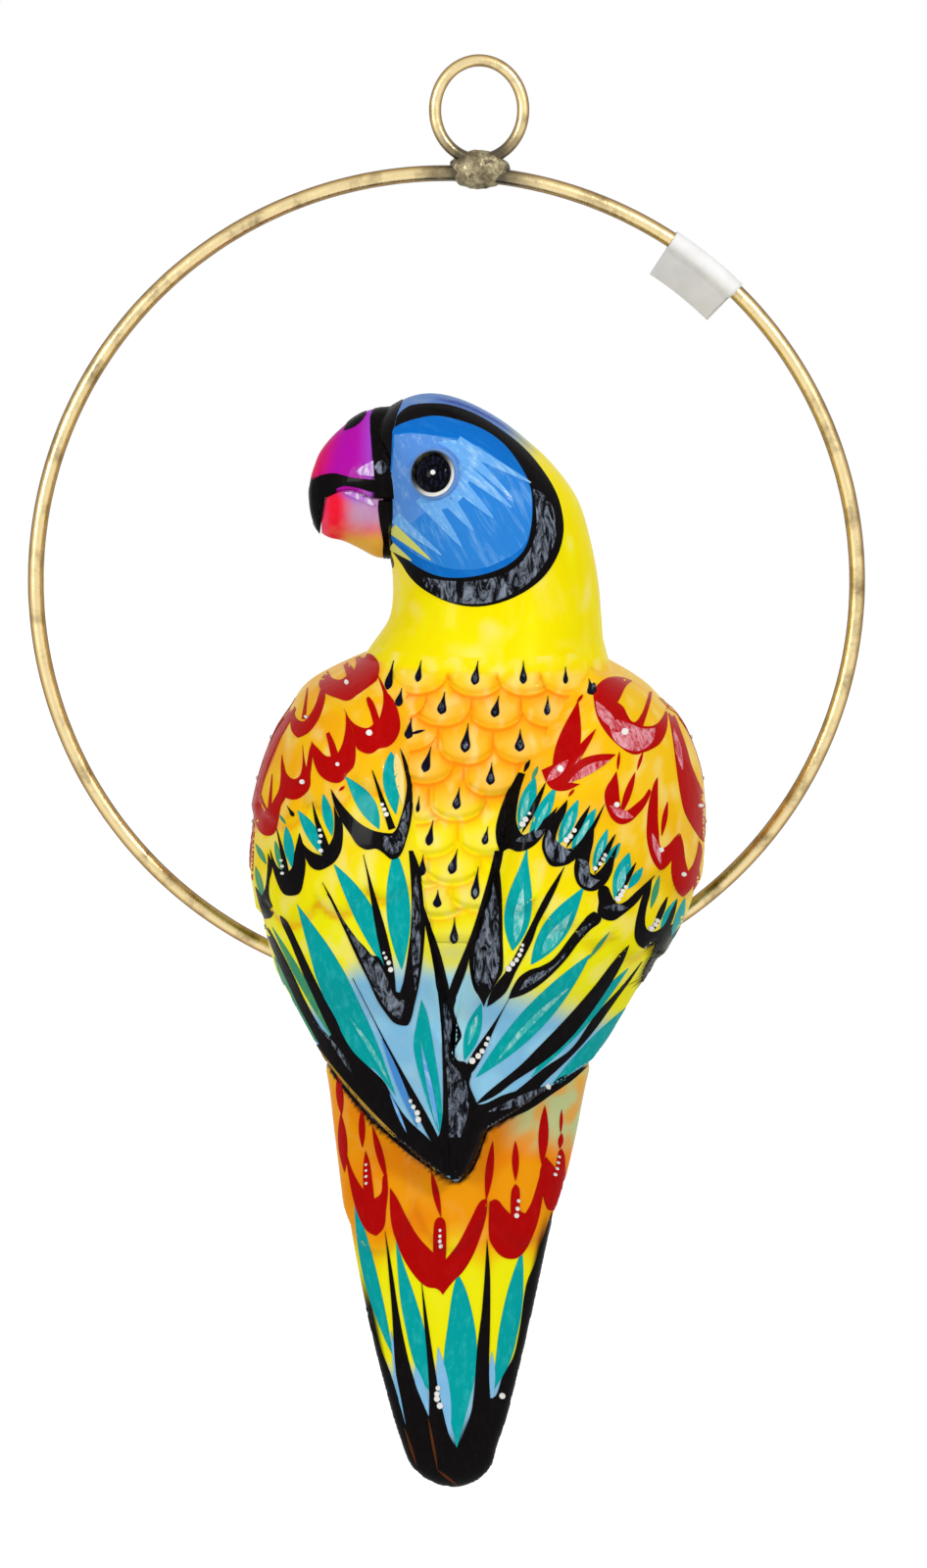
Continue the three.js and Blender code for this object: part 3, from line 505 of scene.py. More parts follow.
# The strokes' paints: material, layers of a film, and slot
PAINTS = {
    "red": (paint_material("red_paint", "b80202", "d21c1c", 0.4), 2.1, "coral_paint"),
    # The red, black and teal sheens and the pearl paint carry painted highlights, as bright mottles and
    # streaks
    "rose": (sheen_material("red_paint_sheen", "c41424", "fbbcc8", low=0.4, high=0.64), 3, "coral_paint"),
    "black": (paint_material("black_paint", "0a0708", "2a2226", 0.3, 700, 0.2), 2.4, "black_paint"),
    "sheen": (sheen_material("black_paint_sheen", "08080e", "a2adc0"), 3.2, "black_paint"),
    "ink": (paint_material("ink_paint", "0c0a1c", "2a2c66", 0.5, 900, 0.2), 2.4, "black_paint"),
    "teal": (paint_material("teal_paint", "00a7a8", "3cccc6", 0.7, 640), 1.4, "grey_paint"),
    "sage": (paint_material("sage_paint", "3f9a72", "8fbf4a", 0.6), 1.7, "grey_paint"),
    "foam": (sheen_material("teal_paint_sheen", "3cc0bc", "d4f6f0"), 3.2, "grey_paint"),
    "sky": (paint_material("light_blue_paint", "86c4ee", "bfe6fb", 0.5), 1.8, "white_paint"),
    "blue": (paint_material("mid_blue_paint", "4a90d8", "7cb8ee", 0.5), 2.6, "purple_paint"),
    "face": (
        paint_material("face_blue_paint", "0c70cc", "3a8ad6", 0.6, 420, turn=-50, run=0.2),
        3, "purple_paint",
    ),
    "mid": (
        paint_material("face_mid_blue_paint", "2e86dc", "7ab4f0", 1.0, 600, turn=-30, run=0.14),
        3.3, "purple_paint",
    ),
    "haze": (
        paint_material("face_light_blue_paint", "5a94e2", "a0caf6", 1.0, 600, turn=-40, run=0.16),
        3.6, "purple_paint",
    ),
    "light": (
        paint_material("pale_blue_paint", "6cb0f2", "c4ecff", 1.0, 800, turn=-45, run=0.2),
        4, "white_paint",
    ),
    "pearl": (sheen_material("pearl_highlight_paint", "c070d8", "f6ecfa", 0.4, 0.6), 3.1, "white_paint"),
    "lemon": (paint_material("lemon_paint", "d8dc70", "f0ec90", 0.5), 4, "yellow_paint"),
    "cream": (paint_material("cream_paint", "ffe890", "fff6cc", 0.5), 1.5, "white_paint"),
    "ochre": (paint_material("ochre_line_paint", "b08a2c", "d8b860", 0.5), 3, "yellow_paint"),
    "brown": (paint_material("brown_line_paint", "5a2c10", "8a5028", 0.5), 3, "grey_paint"),
    "white": (paint_material("white_paint", "f7f5ef", "ffffff", 0.3, 500, 0.25), 4.2, "white_paint"),
}
# The eyes' black, with bluish mottles that are a painted sheen
EYE_BLACK_SHEEN = paint_material("eye_black_sheen", "030304", "3c4270", 0.7, 1300, 0.08)
FOOT_PAINT = paint_material("foot_paint", "6a6058", "8e8478", 0.5, 600, 0.3)
BRASS = brass_material("tarnished_brass_edge_shade")
BRAZE = braze_material("brazed_joint")
PAPER = paper_material("label_paper")


# Camera, at the photograph's angle

PHOTO_WIDTH, PHOTO_HEIGHT = 946, 1600
MM_PER_PIXEL = 0.28  # in the plane through the aim point
CAMERA_DISTANCE = 1400
CAMERA_ELEVATION = math.radians(10)
AIM = np.array([-4.37, 0, -202.9])  # at the frame's centre, in the part's frame
FORWARD = np.array([0, math.cos(CAMERA_ELEVATION), -math.sin(CAMERA_ELEVATION)])
UPWARD = np.array([0, math.sin(CAMERA_ELEVATION), math.cos(CAMERA_ELEVATION)])
EYE_POINT = AIM - FORWARD * CAMERA_DISTANCE
SENSOR = 36


def add_camera():
    data = bpy.data.cameras.new("photo_camera")
    data.sensor_width = SENSOR
    data.lens = SENSOR * CAMERA_DISTANCE / (PHOTO_HEIGHT * MM_PER_PIXEL)
    data.clip_end = 20
    camera = bpy.data.objects.new("photo_camera", data)
    camera.location = EYE_POINT * MM
    camera.rotation_euler = Vector(FORWARD).to_track_quat("-Z", "Y").to_euler()
    bpy.context.collection.objects.link(camera)
    bpy.context.scene.camera = camera


def photo_ray(point):
    """Ray through a pixel of the photograph, in the bird's frame."""
    across = (point[0] - PHOTO_WIDTH / 2) * MM_PER_PIXEL / CAMERA_DISTANCE
    up = (PHOTO_HEIGHT / 2 - point[1]) * MM_PER_PIXEL / CAMERA_DISTANCE
    ray = FORWARD + np.array([1, 0, 0]) * across + UPWARD * up
    return EYE_POINT - BIRD_ORIGIN, ray / np.linalg.norm(ray)


def photo_pixel(points):
    """Pixels of the photograph where points of the bird's frame show."""
    away = np.asarray(points, float) + BIRD_ORIGIN - EYE_POINT
    depth = away @ FORWARD
    across = away[..., 0] / depth * CAMERA_DISTANCE / MM_PER_PIXEL + PHOTO_WIDTH / 2
    up = (away @ UPWARD) / depth * CAMERA_DISTANCE / MM_PER_PIXEL
    return np.stack([across, PHOTO_HEIGHT / 2 - up], -1)


add_camera()


# Ground colours: each is a wash laid over what is below it


def wash_over(colours, *washes):
    """Lays washes over colours, one after the other: each is an amount from 0 to 1 and a colour's name."""
    for amount, name in washes:
        amount = np.asarray(amount, float)[..., None]
        colours = colours * (1 - amount) + np.array(COLOURS[name]) * amount
    return colours


def washed(points, ground, *washes):
    """Colours of points that have one ground colour and washes over it."""
    return wash_over(np.tile(np.array(COLOURS[ground]), (len(points), 1)), *washes)


def wobble(points, size, seed):
    """Soft random field between 0 and 1 over points."""
    at = [Vector((p[0] / size + seed, p[1] / size, p[2] / size)) for p in points]
    return np.array([noise.noise(v) for v in at]) * 0.5 + 0.5


def set_glaze(made, colours):
    """Stores the ground colours on a mesh's points, where the glaze material reads them."""
    layer = made.data.attributes.new("glaze", "FLOAT_COLOR", "POINT")
    flat = np.ones((len(colours), 4), np.float32)
    flat[:, :3] = np.clip(colours, 0, 1)
    layer.data.foreach_set("color", flat.ravel())


# Skins

skins = {}  # name: points, faces and normals in the bird's frame, for the paint to lie on


def add_skin(name, points, faces, colours, replaces):
    """A glazed mesh that paint can lie on."""
    made = add_mesh(name, points, faces, GLAZE, replaces)
    set_glaze(made, colours)
    skins[name] = (points, faces, vertex_normals(points, faces))


# Painted drops on the back, one on each scale: pixels of the tail and of the round end, width
MANTLE_DROPS = [
    (402, 674, 395, 704, 8), (430, 674, 426, 696, 6.5), (488, 674, 484, 699, 8.5), (534, 674, 534, 698, 7.5),
    (577, 680, 577, 698, 5), (601, 693, 605, 709, 10), (410, 702, 406, 721, 8), (454, 706, 450, 729, 9.5),
    (509, 710, 504, 732, 9), (559, 710, 558, 730, 6.5), (420, 733, 416, 754, 9), (478, 738, 474, 768, 10),
    (531, 744, 530, 767, 10), (440, 762, 433, 788, 9), (502, 778, 500, 801, 9), (469, 803, 465, 826, 8.5),
    (428, 812, 426, 829, 4), (442, 837, 437, 863, 8), (498, 843, 494, 862, 7), (432, 872, 430, 894, 8),
    (467, 866, 460, 892, 9), (488, 884, 484, 918, 9), (447, 908, 446, 926, 9), (464, 936, 463, 963, 8.5),
]
SCALE_HALF = 27.5  # half a scale's width, in the photograph's pixels
SCALE_TIP = 11  # from a drop's end to its scale's tip
SCALE_ROUND = 19
SCALE_LENGTH = 46
SCALE_RISE = 1.6
MANTLE_LOW_Z, MANTLE_HIGH_Z = 24, 101.5


def mantle_relief(pixels):
    """How far scales stand out where pixels show, how near their outlines lie for a painted shade in the
    grooves, and their crowns for a painted highlight.
    """
    px, py = pixels[..., 0], pixels[..., 1]
    height, line, crown = np.zeros_like(px), np.zeros_like(px), np.zeros_like(px)
    for _, _, end_x, end_y, _ in sorted(MANTLE_DROPS, key=lambda row: -row[3]):
        across = (px - end_x - 2) / SCALE_HALF
        edge = end_y + SCALE_TIP - SCALE_ROUND * (1 - np.sqrt(np.clip(1 - across**2, 0, 1)))
        up = edge - py
        within = np.minimum(up, (1 - np.abs(across)) * SCALE_HALF * 1.3)
        reach = ease(SCALE_LENGTH, SCALE_LENGTH - 6, up)
        cover = ease(-1.2, 1.2, within) * reach
        fall = 1 - 0.65 * np.clip(up / SCALE_LENGTH, 0, 1)
        own = SCALE_RISE * (0.25 + 0.75 * ease(0, 9, within)) * fall
        # near is the painted shade along each scale's outline, and lit the painted highlight on its crown
        near = np.exp(-(((within + 1.2) / 1.9) ** 2)) + 0.45 * np.exp(-(((within + 4) / 6) ** 2))
        lit = np.exp(-((across * 2) ** 2) - ((up - 17) / 10) ** 2)
        height = height * (1 - cover) + own * cover
        line = np.maximum(line * (1 - cover), np.clip(near, 0, 1) * (1 - cover) * ease(40, 30, up))
        crown = crown * (1 - cover) + lit * cover
    return height, line, crown


def on_mantle(x, z):
    """1 between the wings on the back, and 0 elsewhere."""
    between = ease(-1.5, 0.5, x - straight(LEFT_INNER, z)) * ease(-1.5, 0.5, straight(RIGHT_INNER, z) - x)
    return between * ease(26, 31, z) * (1 - ease(98.5, 100.8, z))


COVERT_RISE = 1.2
COVERT_LEFT_X, COVERT_WIDTH, COVERT_FEATHERS = -29, 61, 3
COVERT_EDGE_Z, COVERT_TILT, COVERT_DROP = -52, 4, 16
MANTLE_SINK = 0.5  # of the body under the mantle


def tail_covert_edge(x):
    """Lower edge of the three big feathers over the tail's root."""
    across = x - COVERT_LEFT_X
    place = np.clip(across / COVERT_WIDTH, 0, 0.9999) * COVERT_FEATHERS
    hang = np.abs(np.sin(np.pi * (place % 1))) ** 0.7
    return COVERT_EDGE_Z + COVERT_TILT * across / COVERT_WIDTH - COVERT_DROP * hang


def body_points(z, angle):
    """Points of the body's and tail's surface, sunk under the mantle."""
    tip = BODY_SECTIONS[0][0]
    shrink = dome(z - tip, TAIL_TIP_DOME)
    squareness = body_squareness(z)
    base = section(BODY_SECTIONS, z, angle, squareness, 0, shrink)
    x, y, deep = base[..., 0], base[..., 1], base[..., 2]
    covert = ease(-1.2, 1.2, deep - tail_covert_edge(x)) * (1 - ease(-16, -12, deep)) * (y < -33)
    under_mantle = on_mantle(x, deep) * (y < -34)
    rise = COVERT_RISE * covert - MANTLE_SINK * under_mantle
    return section(BODY_SECTIONS, z, angle, squareness, rise, shrink)


VENT = (9.2, 34)  # x and z of the vent hole's middle, on the breast
VENT_RADIUS = 4
VENT_DEPTH = 5

# Where washes on the back and tail begin and end, in the photograph's pixels down or across
WARM_ROWS = (850, 800)
NAPE_ROWS = (690, 716)
GROOVE_SHADE_ROWS = (870, 800)
GREEN_SPOT, GREEN_SPREAD = (462, 972), (22, 12)
RUMP_ROWS = (980, 1000)
TAIL_YELLOW_ROWS = (1250, 1300)
PATINA_COLUMNS, PATINA_ROWS = (505, 545), (1150, 1185)
TAIL_SKY_ROWS = (1385, 1410)
TAIL_END_ROWS = (1452, 1470)
TAIL_SIDE_ROWS = (1305, 1245)  # on the tail's left and right


def spot(across, down, middle, spread):
    """A soft round spot: 1 in its middle and 0 far off."""
    return np.exp(-(((across - middle[0]) / spread[0]) ** 2) - ((down - middle[1]) / spread[1]) ** 2)


def trailing_height(x):
    """Height of the wings' trailing edges at x."""
    rows = np.array(LEFT_TRAIL[::-1] + RIGHT_TRAIL)
    return np.interp(x, rows[:, 1], rows[:, 0])


def body_colours(points, line=0.0, crown=0.0):
    """Washes on the body and tail; line is the painted shade in the mantle's grooves and crown the painted
    highlight on its scales.
    """
    x, y, z = points.T
    across, down = photo_pixel(points).T
    back = ease(-18, -28, y)
    warm = ease(*WARM_ROWS, down) * (0.55 + 0.45 * ease(*NAPE_ROWS, down)) * ease(101.5, 98, z) * back
    streaks = ease(0.52, 0.8, wobble(points * (1.4, 1, 0.8), 4, 1.7)) * back
    # Painted shade in the mantle's grooves, stronger high on the back, and a painted highlight on the scales'
    # crowns
    groove = np.clip(line, 0, 1) * (0.4 + 0.55 * ease(*GROOVE_SHADE_ROWS, down))
    green = spot(across, down, GREEN_SPOT, GREEN_SPREAD)
    sky = ease(*RUMP_ROWS, down) * back * (z > -10) * ease(17, 12, np.abs(x - 3))
    breast = ease(-14, 0, y) * ease(40, 88, z) * ease(102, 96, z)
    tail = 1 - ease(-22, -2, z)
    right = ease(*PATINA_COLUMNS, across) * (1 - ease(*PATINA_ROWS, down)) * tail * back
    below = z - trailing_height(x)
    # Painted shadow under the wings' trailing edges, dark like their rim, on the skin just below them
    under_rim_shadow = ease(-2.6, -1.8, below) * ease(4, 3, below) * ease(8, 2, z) * ease(-28, -36, y)
    found = smooth(BODY_SECTIONS, z)
    side = (x - found[:, 1]) / np.maximum(found[:, 3], 1)
    side_row = np.where(side < 0, *TAIL_SIDE_ROWS)
    return washed(
        points,
        "yellow",
        ((1 - ease(28, 52, z)) * 0.7, "bright_yellow"),
        (warm, "warm"),
        (streaks * 0.35 * (z > 20), "cream"),
        (crown * 0.3, "cream"),
        (groove, "painted_crease_shade"),
        (green * 0.6 * back, "patina"),
        (sky * 0.95, "pale_sky"),
        (breast * 0.45 * ease(0.3, 0.7, wobble(points, 16, 4.4)), "warm"),
        (tail, "orange"),
        (tail * ease(0.5, 0.75, wobble(points, 14, 3.1)) * 0.5, "deep_orange"),
        (ease(*TAIL_YELLOW_ROWS, down + 10 * np.sin(across / 9)) * tail, "bright_yellow"),
        (right * (0.3 + 0.7 * ease(0.35, 0.6, wobble(points, 6, 5.2))), "patina"),
        (ease(*TAIL_SKY_ROWS, down) * tail * 0.9, "sky"),
        (under_rim_shadow, "dark_rim_and_shadow"),
        (ease(*TAIL_END_ROWS, down + 10 * np.sin(across / 5)) * tail, "black"),
        (ease(0.86, 0.93, np.abs(side)) * ease(-20, 30, down - side_row) * tail, "black"),
    )


def body_turns():
    """Angles of the body's and head's columns, which lie closer together at the back."""
    turns = np.linspace(0, 2 * np.pi, 220, endpoint=False)
    return turns + 0.3 * np.cos(turns)


def sink_vent(points, colours):
    """Sinks the vent hole into the breast, with its rim on whole points."""
    away = points[:, (0, 2)] - VENT
    distance = np.linalg.norm(away, axis=1)
    front = points[:, 1] > -10
    rim = front & (np.abs(distance - VENT_RADIUS) < 0.75)
    outside = np.where(distance > VENT_RADIUS, VENT_RADIUS + 0.2, VENT_RADIUS - 0.25)
    moved = points.copy()
    moved[rim, 0] = VENT[0] + away[rim, 0] / distance[rim] * outside[rim]
    moved[rim, 2] = VENT[1] + away[rim, 1] / distance[rim] * outside[rim]
    sunk = front & (distance < VENT_RADIUS)
    moved[sunk, 1] -= VENT_DEPTH
    dark = colours.copy()
    dark[sunk] = COLOURS["black"]
    return moved, dark


def add_body():
    tip = BODY_SECTIONS[0][0]
    turns = body_turns()
    low = tip + TAIL_TIP_DOME * (1 - np.cos(np.linspace(0.02, np.pi / 2, 9)))[:-1]
    tail_z = np.concatenate([low, np.linspace(tip + TAIL_TIP_DOME, TAIL_JOINT_Z, 96)])
    tail = body_points(tail_z[:, None], turns[None, :]).reshape(-1, 3)
    faces = tube_faces(len(tail_z), len(turns), end=False)
    add_skin("tail_skin", tail, faces, body_colours(tail), ("tail",))
    z = np.linspace(TAIL_JOINT_Z, NECK_JOINT_Z, 110)
    trunk = body_points(z[:, None], turns[None, :]).reshape(-1, 3)
    trunk, colours = sink_vent(trunk, body_colours(trunk))
    faces = grid_faces(len(z), len(turns), True)
    add_skin("body_skin", trunk, faces, colours, ("body_back_shell", "body_front_shell"))


def add_mantle():
    """The scaled back between the wings, as a finer skin whose rim sinks under them."""
    rows, columns = 240, 150
    rings = []
    for height in np.linspace(MANTLE_LOW_Z, MANTLE_HIGH_Z, rows):
        x = np.linspace(straight(LEFT_INNER, height) - 2, straight(RIGHT_INNER, height) + 2, columns)
        z = np.full(columns, height)
        angles = angle_of_x(BODY_SECTIONS, z, x)
        squareness = body_squareness(height)
        flat = section(BODY_SECTIONS, height, angles, squareness)
        # line and crown carry the painted shade in the grooves and the painted highlight on the scales'
        # crowns
        relief, line, crown = mantle_relief(photo_pixel(flat))
        mask = on_mantle(x, z)
        rise = relief * mask - ease(0.3, 0, mask)
        points = section(BODY_SECTIONS, height, angles, squareness, rise)
        rings.append(np.column_stack([points, line * mask, crown * mask]))
    points, line, crown = np.split(np.concatenate(rings), (3, 4), axis=1)
    colours = body_colours(points, line[:, 0], crown[:, 0])
    faces = grid_faces(rows, columns, False)
    add_skin("mantle_skin", points, faces, colours, ("body_back_shell",))


BAND_BACK_X = -15.4  # back edge of the black band round the beak's root
THROAT_Z = 126
CROWN_STRIPE_Y = 6  # of the two dark stripes, from the head's middle


def head_colours(points):
    """Washes on the head: yellow, with a striped blue crown and a black band round the beak's root."""
    x, y, z = points.T
    crown = ease(156, 161, z + 0.3 * x) * (1 - ease(17, 27, x))
    from_stripe = np.abs(y - HEAD_MIDDLE_Y) - CROWN_STRIPE_Y
    band = (1 - ease(BAND_BACK_X - 0.3, BAND_BACK_X + 0.3, x)) * ease(THROAT_Z - 1, THROAT_Z + 1, z)
    return washed(
        points,
        "yellow",
        (ease(0.5, 0.8, wobble(points * (1, 1, 0.5), 7, 5.2)) * 0.45, "bright_yellow"),
        (ease(0.62, 0.85, wobble(points, 8, 9.1)) * 0.35, "cream"),
        (crown * ease(9, 4, x - 20), "crown"),
        (np.exp(-((from_stripe / 1.6) ** 2)) * crown * ease(-6, 2, x), "stripe"),
        (crown * np.exp(-(((x - 22) / 4) ** 2)) * 0.6, "patina"),
        (band, "black"),
    )


def add_head():
    top = HEAD_SECTIONS[-1][0]
    turns = body_turns()
    crown = top - CROWN_DOME * (1 - np.cos(np.linspace(np.pi / 2, 0.02, 16)))[1:]
    z = np.concatenate([np.linspace(NECK_JOINT_Z, top - CROWN_DOME, 52), crown])
    shrink = dome(top - z, CROWN_DOME)[:, None]
    points = section(HEAD_SECTIONS, z[:, None], turns[None, :], NECK_SQUARENESS, 0, shrink).reshape(-1, 3)
    faces = tube_faces(len(z), len(turns), start=False)
    add_skin("head_skin", points, faces, head_colours(points), ("head_shell",))


WING_TOP_Z = 101
CORNER_LOW_Z = 12
CORNER_HIGH_Z = 25
INNER_SLOPE = 8  # width over which a wing rises from the mantle
TIP_SLOPE = 1.6  # the same between the two wings' tips
COVERT_STEP, SHOULDER_STEP = 1.6, 1.4  # how far each feather row stands out over the next
FEATHER_DROP = 6
WING_FOOT = 0.12  # share of a wing's thickness that its rim goes into the body
UNDERSIDE = -1.2  # of a wing, from the body's surface
# Rows of feathers: both ends of a row's lower edge, as x and z, and how many feathers it has
LEFT_ROWS = [((-11.2, 80), (-62, 56), 4), ((-7.6, 50), (-62, 30), 4)]
RIGHT_ROWS = [((19, 69), (70, 40), 4), ((13, 47), (66, 20), 5)]


def row_edge(row, x):
    """Height of a feather row's scalloped lower edge at x."""
    (x0, z0), (x1, z1), feathers = row
    t = np.clip((x - x0) / (x1 - x0), 0, 0.99999)
    hang = np.sin(np.pi * (t * feathers % 1)) ** 0.7
    return z0 + (z1 - z0) * t - FEATHER_DROP * hang


# Inner edges of the bands of paint round the wings' outer edges: pixel down, pixel across
RIGHT_EDGE_BLACK = [(948, 678), (965, 667), (985, 657), (1006, 649)]
LEFT_EDGE_RED = [
    (724, 302), (750, 288), (763, 283), (798, 269), (819, 263), (853, 259), (881, 256), (896, 252),
]
# Where the blue on the wings' lower feathers begins: pixel down, and pixel across where that line bends
LEFT_SKY, RIGHT_SKY = (985, 365), (1000, 470)


def wing_columns(width):
    """Distances across a wing from its inner edge, closer together at both edges."""
    edge = np.array([0, 0.12, 0.35, 0.7, 1.2, 1.9, 2.8, 4.0])
    scale = min(1.0, width / (2.6 * edge[-1]))
    near = edge * scale
    middle = np.linspace(near[-1], width - near[-1], 62)[1:-1]
    return np.concatenate([near, middle, (width - near)[::-1]])


def wing_colours(points, side, from_edge, from_inner):
    """Washes on a wing, from how far its points lie from the outer and the inner edge."""
    x, y, z = points.T
    across, down = photo_pixel(points).T
    left = side < 0
    shoulder_row, covert_row = LEFT_ROWS if left else RIGHT_ROWS
    covert = z - row_edge(covert_row, x)
    shoulder = z - row_edge(shoulder_row, x)
    deep = ease(0.45, 0.75, wobble(points, 10, 6.3)) * ease(-1, 4, shoulder)
    lit = ease(0.5, 0.75, wobble(points * (1.3, 1, 0.7), 5, 8.8))
    # Painted shade along the lower edges of the shoulder and covert feather rows
    crease_shades = [np.exp(-(((away + 1.6) / 1.1) ** 2)) * (0.6 if left else 0.3) for away in (shoulder, covert)]
    if left:
        start = LEFT_SKY[0] + np.maximum(0, LEFT_SKY[1] - across) * 0.9
    else:
        start = RIGHT_SKY[0] + (across - RIGHT_SKY[1]) * 0.28
    sky = ease(-18, 22, down - start) * ease(-8, -22, y)
    colours = washed(
        points,
        "bright_yellow",
        (ease(-1, 2, covert) * 0.5, "yellow"),
        (ease(-1, 1.5, covert) * ease(2, 18, covert) * 0.35, "warm"),
        (ease(-1.5, 1.5, shoulder) * (0.8 if left else 0.6), "warm"),
        (deep * (0.5 if left else 0.25), "orange"),
        (lit * 0.35 * ease(-30, 0, z), "cream"),
        (crease_shades[0], "painted_crease_shade"),
        (crease_shades[1], "painted_crease_shade"),
        (sky * 0.95, "sky"),
        (ease(0.5, 0.75, wobble(points, 9, 2.3)) * sky * 0.5, "pale_sky"),
    )
    beside = (ease(6, 1.5, from_inner) * ease(-20, 0, z))[:, None]
    colours = colours * (1 - beside) + body_colours(points) * beside
    edge, edge_colour = (LEFT_EDGE_RED, "red") if left else (RIGHT_EDGE_BLACK, "black")
    band = ease(-1.2, 1.2, side * (across - straight(edge, down))) * (y < -24)
    band *= (down > edge[0][0]) & (down < edge[-1][0])
    return wash_over(colours, (ease(2.6, 1.8, from_edge) * ease(6, -2, z), "dark_rim_and_shadow"), (band, edge_colour))


def wing_angles(side, z):
    """Angles of a wing's inner and outer edges at heights z."""
    inner, trail = (LEFT_INNER, LEFT_TRAIL) if side < 0 else (RIGHT_INNER, RIGHT_TRAIL)
    x_in = np.where(z < inner[0][0], inner[0][1], straight(inner, z))
    front = angle_of_y(WING_SECTIONS, z, straight(WING_FRONT, z), side)
    trailing = angle_of_x(WING_SECTIONS, z, straight(trail, z))
    outer = np.maximum(front, trailing) if side < 0 else np.minimum(front, trailing)
    corner = ease(CORNER_LOW_Z, CORNER_HIGH_Z, z)  # where the trailing edge turns up into the front edge
    return angle_of_x(WING_SECTIONS, z, x_in), outer * (1 - corner) + front * corner


def wing_row(side, height, first, last):
    """One row across a wing: points over and under it, and their distances from its outer and inner edges."""
    fine = np.linspace(first, last, 60)
    path = section(WING_SECTIONS, height, fine, BODY_SQUARENESS)
    length = np.concatenate([[0], np.cumsum(np.linalg.norm(np.diff(path, axis=0), axis=1))])
    from_inner = wing_columns(length[-1])
    from_edge = length[-1] - from_inner
    angles = np.interp(from_inner, length, fine)
    flat_x = section(WING_SECTIONS, height, angles, BODY_SQUARENESS)[:, 0]
    shoulder_row, covert_row = LEFT_ROWS if side < 0 else RIGHT_ROWS
    rise = COVERT_STEP * ease(-1.6, 1.6, height - row_edge(covert_row, flat_x))
    rise += SHOULDER_STEP * ease(-1.6, 1.6, height - row_edge(shoulder_row, flat_x))
    rise *= ease(-2, 12, WING_TOP_Z - height)
    top = section(WING_SECTIONS, height, angles, BODY_SQUARENESS, rise)
    if side > 0 and height > RIGHT_SHOULDER[0][0]:
        over = top[:, 0] - straight(RIGHT_SHOULDER, height)
        top[:, 0] -= 0.5 * (over + np.sqrt(over**2 + 3))
    slope = INNER_SLOPE * min(1.0, max(0.35, (height + 30) / 40))
    joined = 1 - ease(-8, 6, height)  # the wings' tips meet with no groove between them
    start = -WING_FOOT
    if side > 0:
        start = -WING_FOOT - 3 * joined
    else:
        slope = slope * (1 - joined) + TIP_SLOPE * joined
    profile = ease(start, 1, from_inner / slope) * dome(from_edge, 3.2) - WING_FOOT * ease(0.9, 0, from_edge)
    base = body_points(np.full(len(angles), height), angles)
    over = base + (top - base) * profile[:, None]
    under = section(BODY_SECTIONS, height, angles, BODY_SQUARENESS, UNDERSIDE)
    return over, under, from_edge, from_inner


def add_wing(word, side):
    z = np.linspace((LEFT_TRAIL if side < 0 else RIGHT_TRAIL)[0][0] + 0.15, WING_TOP_Z, 118)
    rows = [wing_row(side, *place) for place in zip(z, *wing_angles(side, z))]
    over, under, from_edge, from_inner = (np.array(part) for part in zip(*rows))
    count, columns = over.shape[:2]
    size = count * columns
    points = np.concatenate([over.reshape(-1, 3), under.reshape(-1, 3)])
    faces = grid_faces(count, columns, False)
    faces += [tuple(size + k for k in reversed(face)) for face in faces]
    rim = [r * columns for r in range(count)]
    rim += [(count - 1) * columns + c for c in range(1, columns)]
    rim += [r * columns + columns - 1 for r in reversed(range(count - 1))]
    rim += [c for c in reversed(range(1, columns - 1))]
    faces += [(a, b, b + size, a + size) for a, b in zip(rim, rim[1:] + rim[:1])]
    if side < 0:
        faces = turned_over(faces)
    colours = wing_colours(points, side, np.tile(from_edge.ravel(), 2), np.tile(from_inner.ravel(), 2))
    add_skin(word + "_wing_skin", points, faces, colours, (word + "_wing",))


# Where washes on the beak begin and end, in the photograph's pixels across or down
# The violet and pearl washes and the violet streak below are painted highlights
VIOLET_SHINE_COLUMNS = (362, 385)
MAGENTA_COLUMNS, MAGENTA_ROW = (352, 326), 450
UPPER_ROOT_COLUMNS, LOWER_ROOT_COLUMNS = (379, 381), (390.5, 392)
HOOK_ROWS = (486, 489)
ROSE_COLUMNS = (340, 326)
AMBER_ROWS, AMBER_COLUMNS = (535, 555), (342, 358)
PEARL_SHINE_COLUMNS, PEARL_SHINE_ROWS = (344, 366), (525, 552)
SHINE_SPOT, SHINE_SPREAD = (360, 506), (14, 6)


def beak_ring(x, angles, rise=0.0):
    """Points round the beak at x; angles are from +Y, over the top."""
    found = smooth(BEAK_SECTIONS, x)[0]
    shrink = float(dome(np.array(x - BEAK_SECTIONS[0][0]), BEAK_TIP_DOME))
    y = found[1] + (found[3] * shrink + rise) * np.cos(angles)
    z = found[2] + (found[4] * shrink + rise) * np.sin(angles)
    return np.stack([np.full_like(y, x), y, z], -1)


def gape_angle(x, rise=0.0, shift=0.0):
    """Angle at which the beak's surface at x reaches the line of the mouth."""
    found = smooth(BEAK_SECTIONS, x)[0]
    value = (straight(GAPE, x) - shift - found[2]) / (found[4] + rise)
    return math.asin(max(-1.0, min(1.0, value)))


